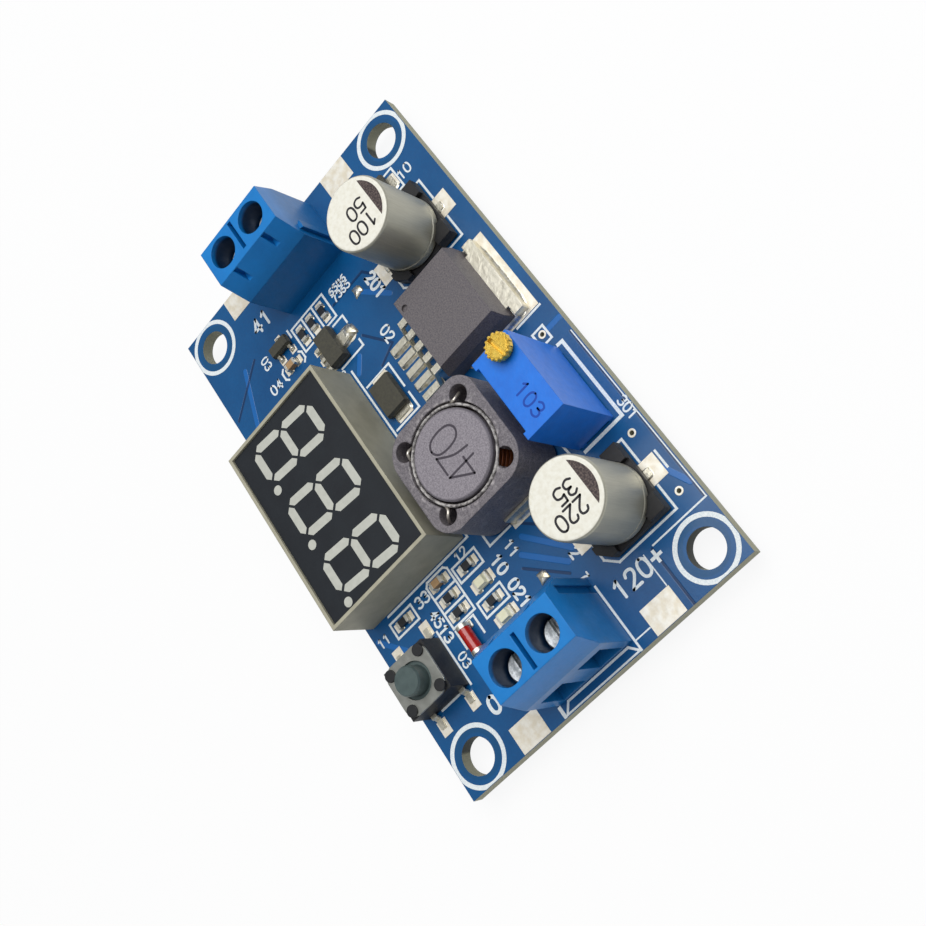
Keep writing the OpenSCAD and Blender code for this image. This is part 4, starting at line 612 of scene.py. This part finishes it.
cap_blue = Finish("bright_blue_cap", Coat_Weight=0.12, Coat_Roughness=0.25)
cap_blue.feed(
    Base_Color=cap_blue.mixed(cap_blue.mottle(1.2 * mm, 4), tone(0, 100, 204), tone(0, 124, 236)),
    Roughness=cap_blue.mottle(0.5 * mm) * 0.18 + 0.36,
    Normal=cap_blue.relief(cap_blue.mottle(0.3 * mm, 3), 0.015 * mm, cap_blue.soft_edges(0.14 * mm)))
cap_blue.on("trimmer_housing")

stamp = Finish("dark_blue_stamp", Specular_IOR_Level=0.4)
stamp.feed(
    Base_Color=stamp.mixed(stamp.mottle(0.3 * mm, 3), tone(2, 56, 150), tone(0, 78, 186)),
    Roughness=stamp.mottle(0.2 * mm) * 0.2 + 0.4,
    Normal=stamp.relief(stamp.mottle(0.1 * mm), 0.005 * mm))
cap_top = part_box("trimmer_housing")[1].z
skin("trimmer_value", stamp, "board_assembly",
     numerals("103", (11.2, 14.9), 0, 1.5, 0.22, cap_top, 0.85, 0.008), smooth=False)

base_resin = Finish("dark_blue_resin")
base_resin.feed(
    Base_Color=base_resin.mixed(base_resin.mottle(0.8 * mm), tone(10, 40, 92), tone(16, 58, 120)),
    Roughness=base_resin.mottle(0.4 * mm) * 0.25 + 0.3,
    Normal=base_resin.relief(base_resin.mottle(0.5 * mm), 0.04 * mm))
base_resin.on("trimmer_base")

ceramic = Finish("white_ceramic_strip")
ceramic.feed(
    Base_Color=ceramic.mixed(ceramic.mottle(0.4 * mm), tone(226, 224, 216), tone(240, 240, 236)),
    Roughness=ceramic.mottle(0.2 * mm) * 0.2 + 0.45,
    Normal=ceramic.relief(ceramic.mottle(0.06 * mm), 0.006 * mm))
ceramic.on("trimmer_element")

wheel_plastic = Finish("cream_wheel_plastic")
wheel_plastic.feed(
    Base_Color=wheel_plastic.mixed(wheel_plastic.mottle(0.6 * mm), tone(214, 206, 182), tone(228, 222,
                                                                                             200)),
    Roughness=wheel_plastic.mottle(0.3 * mm) * 0.2 + 0.4,
    Normal=wheel_plastic.relief(wheel_plastic.mottle(0.1 * mm), 0.008 * mm))
wheel_plastic.on("trimmer_wheel")

brass = Finish("turned_brass", Metallic=0.8)
brass.feed(
    Base_Color=brass.mixed(brass.mottle(0.5 * mm, 4), tone(206, 152, 30), tone(250, 222, 110)),
    Roughness=brass.mottle(0.2 * mm, 3) * 0.25 + 0.18,
    Normal=brass.relief(brass.mottle(0.08 * mm, 3), 0.008 * mm, brass.soft_edges(0.06 * mm)))
brass.on("trimmer_screw")


def toothed_rim(axis, bottom, top, inner, outer, depth, teeth):
    """A rim with rounded teeth. Its section is a closed box with bevelled corners, turned round the
    axis, and its
    outer radius falls by depth between the teeth as a sine drawn tight to flat crowns and gaps."""
    angle = np.linspace(0, 2 * np.pi, teeth * 10 + 1)[:, None]
    crown = outer - depth * (0.5 - 0.5 * np.tanh(2.5 * np.sin(teeth * angle)))
    bevel = depth * 0.6
    radius = np.hstack([crown * 0 + inner, crown - bevel, crown, crown, crown - bevel, crown * 0 + inner,
                        crown * 0 + inner])
    level = np.array([bottom, bottom, bottom + bevel, top - bevel, top, top, bottom]) + 0 * angle
    return np.stack([axis[0] + radius * np.cos(angle), axis[1] + radius * np.sin(angle), level], -1)


head_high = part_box("trimmer_screw")[1]
head_axis = (5.52 * mm, 15.885 * mm)
skin("trimmer_screw_rim", brass, "trimmer_screw",
     [toothed_rim(head_axis, head_high.z - 0.78 * mm, head_high.z - 0.03 * mm, 1.12 * mm, 1.42 * mm,
                  0.16 * mm, 16)],
     smooth=False)

# ---- Inductor
# A pressed ferrite shield ring round a ferrite bobbin wound with enamelled copper. Both
# are sintered, so they are dull, grainy and slightly rough at their rims.

ring_ferrite = Finish("pressed_shield_ferrite", Specular_IOR_Level=0.5)
low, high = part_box("inductor_shield")
coil_middle, ring_top = (low + high) / 2, high.z
coil = coil_middle.x / mm, coil_middle.y / mm
grain = ring_ferrite.mottle(0.14 * mm, 5, rough=0.75)
chipped = ring_ferrite.mottle(0.7 * mm, 4).rising(0.45, 0.7)
# Painted highlight: along the bore edge, about 5.4 mm from the axis, the shield is painted lighter, broken up
# by the chip noise. The lighter chips elsewhere are its own grit.
rim = 1 - abs(ring_ferrite.from_axis([coil]) - 5.4 * mm).rising(0.1 * mm, 0.3 * mm)
body = ring_ferrite.mixed(grain.rising(0.3, 0.7), tone(78, 74, 80), tone(136, 130, 134))
ring_ferrite.feed(
    Base_Color=ring_ferrite.mixed(rim * chipped * 0.8 + chipped * 0.2, body, tone(178, 172, 172)),
    Roughness=ring_ferrite.mottle(0.6 * mm) * 0.2 + 0.36,
    Normal=ring_ferrite.relief(grain + chipped * 0.8, 0.035 * mm, ring_ferrite.soft_edges(0.22 * mm)))
ring_ferrite.on("inductor_shield")

ferrite = Finish("ground_drum_ferrite", Specular_IOR_Level=0.5)
grain = ferrite.mottle(0.16 * mm, 5, rough=0.75)
# Painted shade: beyond 4.25 mm from the axis the drum is painted darker, standing in for the shade on its rim
# and side next to the gap.
edge = ferrite.from_axis([coil]).rising(4.25 * mm, 4.55 * mm)
body = ferrite.mixed(grain.rising(0.3, 0.7), tone(112, 106, 114), tone(156, 150, 156))
ferrite.feed(
    Base_Color=ferrite.mixed(edge * 0.6, body, tone(84, 80, 86)),
    Roughness=ferrite.mottle(0.6 * mm) * 0.2 + 0.38,
    Normal=ferrite.relief(grain, 0.02 * mm, ferrite.soft_edges(0.18 * mm)))
ferrite.on("inductor_drum")

engraved = Finish("engraved_lines", Specular_IOR_Level=0.3)
engraved.feed(
    Base_Color=engraved.mixed(engraved.mottle(0.2 * mm, 3), tone(52, 48, 56), tone(86, 80, 88)),
    Roughness=engraved.mottle(0.2 * mm) * 0.2 + 0.55,
    Normal=engraved.relief(engraved.mottle(0.08 * mm), 0.006 * mm))
drum_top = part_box("inductor_drum")[1].z
skin("inductor_value", engraved, "board_assembly",
     numerals("470", (8.3, 4.6), 180, 3.5, 0.24, drum_top, 0.56, 0.006), smooth=False)


def tube(line, radius, sides=10):
    """A round bar along a line in space. Round each point runs a circle square to the line, and past
    either end
    the circle shrinks as the cosine of an angle while it moves on by its sine."""
    line, turn = np.array(line, float), np.radians([90, 60, 30])[:, None]
    along = np.gradient(line, axis=0)
    along /= np.linalg.norm(along, axis=1, keepdims=True)
    swell = np.broadcast_to(radius, len(line)).astype(float)
    line = np.vstack([line[0] - along[0] * np.sin(turn) * swell[0], line,
                      line[-1] + along[-1] * np.sin(turn[::-1]) * swell[-1]])
    swell = np.concatenate([np.cos(turn[:, 0]) * swell[0], swell, np.cos(turn[::-1, 0]) * swell[-1]])
    along = np.vstack([along[:1].repeat(3, 0), along, along[-1:].repeat(3, 0)])
    aside = np.cross(along, (0.1, 0.2, 1.0))
    aside /= np.linalg.norm(aside, axis=1, keepdims=True)
    up = np.cross(aside, along)
    angle = np.linspace(0, 2 * np.pi, sides + 1)[None, :, None]
    return line[:, None] + swell[:, None, None] * (aside[:, None] * np.cos(angle) + up[:,
                                                                                       None] * np.sin(angle))


bead_finish = Finish("hardened_resin_bead", Coat_Weight=0.2, Coat_Roughness=0.3)
bead_finish.feed(
    Base_Color=bead_finish.mixed(bead_finish.mottle(0.4 * mm, 4).rising(0.35, 0.65), tone(96, 92, 92),
                                 tone(190, 186, 182)),
    Roughness=bead_finish.mottle(0.2 * mm) * 0.25 + 0.35,
    Normal=bead_finish.relief(bead_finish.mottle(0.25 * mm, 4), 0.05 * mm))
angle = np.linspace(0, 2 * np.pi, 181)
draw = np.random.default_rng(4)
waves = sum(np.sin(n * angle + draw.uniform(0, 6.28)) / n ** 0.5 for n in (5, 9, 14, 22, 31)) / 2
lumpy = 0.5 + 1.1 * np.exp(-((angle - 0.9) / 0.7) ** 2)
swell = (0.17 + 0.055 * waves * lumpy) * mm
swell[-1] = swell[0]
bead_reach = (4.96 + 0.05 * np.roll(waves, 40) * lumpy) * mm
bead_reach[-1] = bead_reach[0]
turn = np.linspace(0, 2 * np.pi, 13)
radius = bead_reach[:, None] + swell[:, None] * np.cos(turn)
skin("inductor_resin_bead", bead_finish, "board_assembly",
     [np.stack([coil[0] * mm + radius * np.cos(angle)[:, None], coil[1] * mm + radius * np.sin(angle)[:,
                                                                                                      None],
                ring_top - 0.28 * mm + swell[:, None] * 1.5 * np.sin(turn) + 0 * radius], -1)])

wire_ends = [[(-4.7, 3.95, -0.9), (-4.25, 3.65, -0.25), (-4.2, 3.15, -0.2), (-4.6, 2.65, -0.8)],
             [(-4.3, -3.5, -0.8), (-3.9, -4, -0.2), (-3.3, -4.4, -0.7)],
             [(2.8, -4.15, -0.7), (3.7, -3.95, -0.2), (4.2, -4.35, -0.2), (4.3, -4.85, -0.9)]]
bright_wire = Finish("tinned_winding_ends", Metallic=0.8)
bright_wire.feed(
    Base_Color=bright_wire.mixed(bright_wire.mottle(0.4 * mm, 3), tone(188, 176, 160), tone(234, 230, 222)),
    Roughness=bright_wire.mottle(0.25 * mm) * 0.25 + 0.2,
    Normal=bright_wire.relief(bright_wire.mottle(0.2 * mm, 3), 0.015 * mm))
skin("inductor_wire_ends", bright_wire, "board_assembly",
     [tube((curved(line) + (*coil, ring_top / mm)) * mm, 0.17 * mm) for line in wire_ends])

enamel = Finish("enamelled_winding", Metallic=0.6, Coat_Weight=0.5, Coat_Roughness=0.15)
enamel.feed(
    Base_Color=enamel.mixed(enamel.mottle(0.5 * mm), tone(150, 78, 40), tone(190, 108, 60)),
    Roughness=enamel.mottle(0.3 * mm) * 0.15 + 0.25,
    Normal=enamel.relief(enamel.mottle(0.1 * mm), 0.006 * mm))
enamel.on("inductor_winding")

# ---- Display
# Three digits in one shell moulded in warm grey polycarbonate. The front is a black
# printed face, and each segment is a well filled with frosted resin.

shell_plastic = Finish("warm_grey_shell")
shell_plastic.feed(
    Base_Color=shell_plastic.mixed(shell_plastic.mottle(1.5 * mm, 4), tone(150, 146, 126), tone(188, 184,
                                                                                                162)),
    Roughness=shell_plastic.mottle(0.5 * mm) * 0.2 + 0.42,
    Normal=shell_plastic.relief(shell_plastic.mottle(0.3 * mm, 4), 0.014 * mm,
                                shell_plastic.soft_edges(0.1 * mm)))
shell_plastic.on("display_shell")

face_black = Finish("black_display_face", Specular_IOR_Level=0.4)
face_black.feed(
    Base_Color=face_black.mixed(face_black.mottle(2.5 * mm, 3), tone(16, 19, 26), tone(30, 36, 42)),
    Roughness=face_black.mottle(0.4 * mm) * 0.15 + 0.38,
    Normal=face_black.relief(face_black.mottle(0.06 * mm, 3), 0.006 * mm))
face_black.on("display_face")

frosted = Finish("frosted_segments", Subsurface_Weight=0.0)
frosted.feed(
    Base_Color=frosted.mixed(frosted.mottle(0.6 * mm, 4), tone(176, 178, 168), tone(204, 204, 194)),
    Roughness=frosted.mottle(0.3 * mm) * 0.2 + 0.4,
    Normal=frosted.relief(frosted.mottle(0.15 * mm), 0.008 * mm))
frosted.on("display_segments")

# ---- Push button
# A tact switch: black moulded base, pressed steel cover held by four hot-formed posts,
# a snap disc, and a round button in dark grey plastic.

switch_black = Finish("black_switch_plastic")
switch_black.feed(
    Base_Color=switch_black.mixed(switch_black.mottle(0.5 * mm), tone(16, 17, 19), tone(34, 35, 38)),
    Roughness=switch_black.mottle(0.3 * mm) * 0.2 + 0.4,
    Normal=switch_black.relief(switch_black.mottle(0.12 * mm), 0.01 * mm,
                               switch_black.soft_edges(0.08 * mm)))
switch_black.on("switch_base")

steel = Finish("pressed_cover_steel", Metallic=0.9)
steel.feed(
    Base_Color=steel.mixed(steel.mottle(0.8 * mm, 4), tone(140, 141, 134), tone(186, 187, 180)),
    Roughness=steel.mottle(0.2 * mm, 3, (0.1, 1, 1)) * 0.2 + 0.3,
    Normal=steel.relief(steel.mottle(0.08 * mm, 3, (0.08, 1, 1)), 0.005 * mm, steel.soft_edges(0.06 * mm)))
steel.on("switch_cover", "switch_dome")

button_plastic = Finish("grey_button_plastic")
button_plastic.feed(
    Base_Color=button_plastic.mixed(button_plastic.mottle(0.8 * mm), tone(58, 72, 72), tone(86, 102, 100)),
    Roughness=button_plastic.mottle(0.25 * mm) * 0.2 + 0.38,
    Normal=button_plastic.relief(button_plastic.mottle(0.08 * mm), 0.008 * mm,
                                 button_plastic.soft_edges(0.08 * mm)))
button_plastic.on("switch_button")

# ---- Glass diode
# A pellet of silicon sealed in red glass between two tinned end caps.

glass = Finish("red_diode_glass", Coat_Weight=0.6, Coat_Roughness=0.05)
glass.feed(
    Base_Color=glass.mixed(glass.mottle(0.6 * mm), tone(140, 12, 4), tone(196, 30, 12)),
    Roughness=glass.mottle(0.5 * mm) * 0.1 + 0.12)
glass.on("glass_diode_body")

end_metal = Finish("plated_part_ends", Metallic=0.9)
end_metal.feed(
    Base_Color=end_metal.mixed(end_metal.mottle(0.3 * mm), tone(206, 204, 194), tone(238, 236, 226)),
    Roughness=end_metal.mottle(0.2 * mm) * 0.25 + 0.25,
    Normal=end_metal.relief(end_metal.mottle(0.15 * mm), 0.012 * mm, end_metal.soft_edges(0.06 * mm)))
end_metal.on("glass_diode_caps", "chip_ends")

# ---- Indicator lights
# Tiny lamps cast in milky resin on a white base, with a plated end at each side.

milky = Finish("milky_lamp_resin", Coat_Weight=0.4, Coat_Roughness=0.1)
milky.feed(
    Base_Color=milky.mixed(milky.mottle(0.4 * mm), tone(222, 218, 178), tone(240, 238, 214)),
    Roughness=milky.mottle(0.3 * mm) * 0.15 + 0.22,
    Normal=milky.relief(milky.mottle(0.2 * mm), 0.01 * mm, milky.soft_edges(0.08 * mm)))
milky.on("indicator_lights")

# ---- Chip resistors and capacitors
# The resistors are ceramic slips under a black glaze; the capacitors are bare fired
# ceramic, tan and slightly speckled.

glaze = Finish("black_resistor_glaze", Coat_Weight=0.3, Coat_Roughness=0.15)
glaze.feed(
    Base_Color=glaze.mixed(glaze.mottle(0.3 * mm), tone(16, 18, 22), tone(36, 38, 42)),
    Roughness=glaze.mottle(0.2 * mm) * 0.2 + 0.3,
    Normal=glaze.relief(glaze.mottle(0.12 * mm), 0.008 * mm, glaze.soft_edges(0.05 * mm)))
glaze.on("chip_resistors")

fired = Finish("tan_fired_ceramic")
fired.feed(
    Base_Color=fired.mixed(fired.mottle(0.12 * mm, 4), tone(150, 118, 80), tone(184, 150, 108)),
    Roughness=fired.mottle(0.2 * mm) * 0.2 + 0.45,
    Normal=fired.relief(fired.mottle(0.08 * mm), 0.008 * mm, fired.soft_edges(0.06 * mm)))
fired.on("chip_capacitors")

# ---- Floor, light and camera
# A plain white floor at the pin tips and one wide lamp overhead, so that the tops are
# bright and the walls fall softly into shade.

floor_mesh = bpy.data.meshes.new("floor")
floor_mesh.from_pydata([(-1.5, -1.5, 0), (1.5, -1.5, 0), (1.5, 1.5, 0), (-1.5, 1.5, 0)], [], [(0, 1, 2, 3)])
floor = bpy.data.objects.new("floor", floor_mesh)
floor.location = (0, 0, -0.0002)
bpy.context.scene.collection.objects.link(floor)
paper = Finish("floor_paper", Base_Color=(0.86, 0.86, 0.86, 1), Roughness=0.9)
glow = paper.add("Emission", None, (1, 1, 1, 1), 1.0)
path = paper.add("LightPath", None, give="Is Camera Ray")
mirrored = Reading(paper, path.socket.node.outputs["Is Glossy Ray"])
seen = paper.add("Math", {"operation": "MAXIMUM"}, path, mirrored)
both = paper.add("MixShader", None, seen * 0.9)
paper.tree.links.new(paper.shader.outputs[0], both.socket.node.inputs[1])
paper.tree.links.new(glow.socket, both.socket.node.inputs[2])
paper.tree.links.new(both.socket, paper.tree.nodes["Material Output"].inputs[0])
floor_mesh.materials.append(paper.made)


def lamp(name, place, aim, size, watts):
    """A square lamp at place whose light points at aim."""
    data = bpy.data.lights.new(name, "AREA")
    data.size, data.energy = size, watts
    made = bpy.data.objects.new(name, data)
    toward = (Vector(aim) - Vector(place)).to_track_quat("-Z", "Y")
    made.matrix_world = Matrix.LocRotScale(Vector(place), toward, None)
    bpy.context.scene.collection.objects.link(made)
    return made


lamp("overhead_lamp", (-0.1, 0.15, 0.5), (0, 0, 0), 0.5, 2.7)

world = bpy.data.worlds.new("studio")
bpy.context.scene.world = world
world.use_nodes = True
world.node_tree.nodes["Background"].inputs["Color"].default_value = (0.95, 0.97, 1.0, 1.0)
world.node_tree.nodes["Background"].inputs["Strength"].default_value = 0.32

camera_data = bpy.data.cameras.new("camera")
camera_data.sensor_width = 36
camera_data.lens = 47.273
camera_data.shift_x, camera_data.shift_y = -0.041706, 0.039019
camera_data.clip_start, camera_data.clip_end = 0.005, 10
camera = bpy.data.objects.new("camera", camera_data)
turned = Vector((-2.60474, -1.19303, 0.78854))
seen_from = Matrix.Rotation(turned.length, 3, turned).transposed()
place = seen_from @ Vector((0.0078885, 0.0068827, -0.129126)) + Vector((0, 0, board_top))
camera.matrix_world = Matrix.Translation(place) @ (seen_from @ Matrix.Diagonal((1, -1, -1))).to_4x4()
bpy.context.scene.collection.objects.link(camera)
bpy.context.scene.camera = camera
bpy.context.scene.view_settings.view_transform = "Standard"
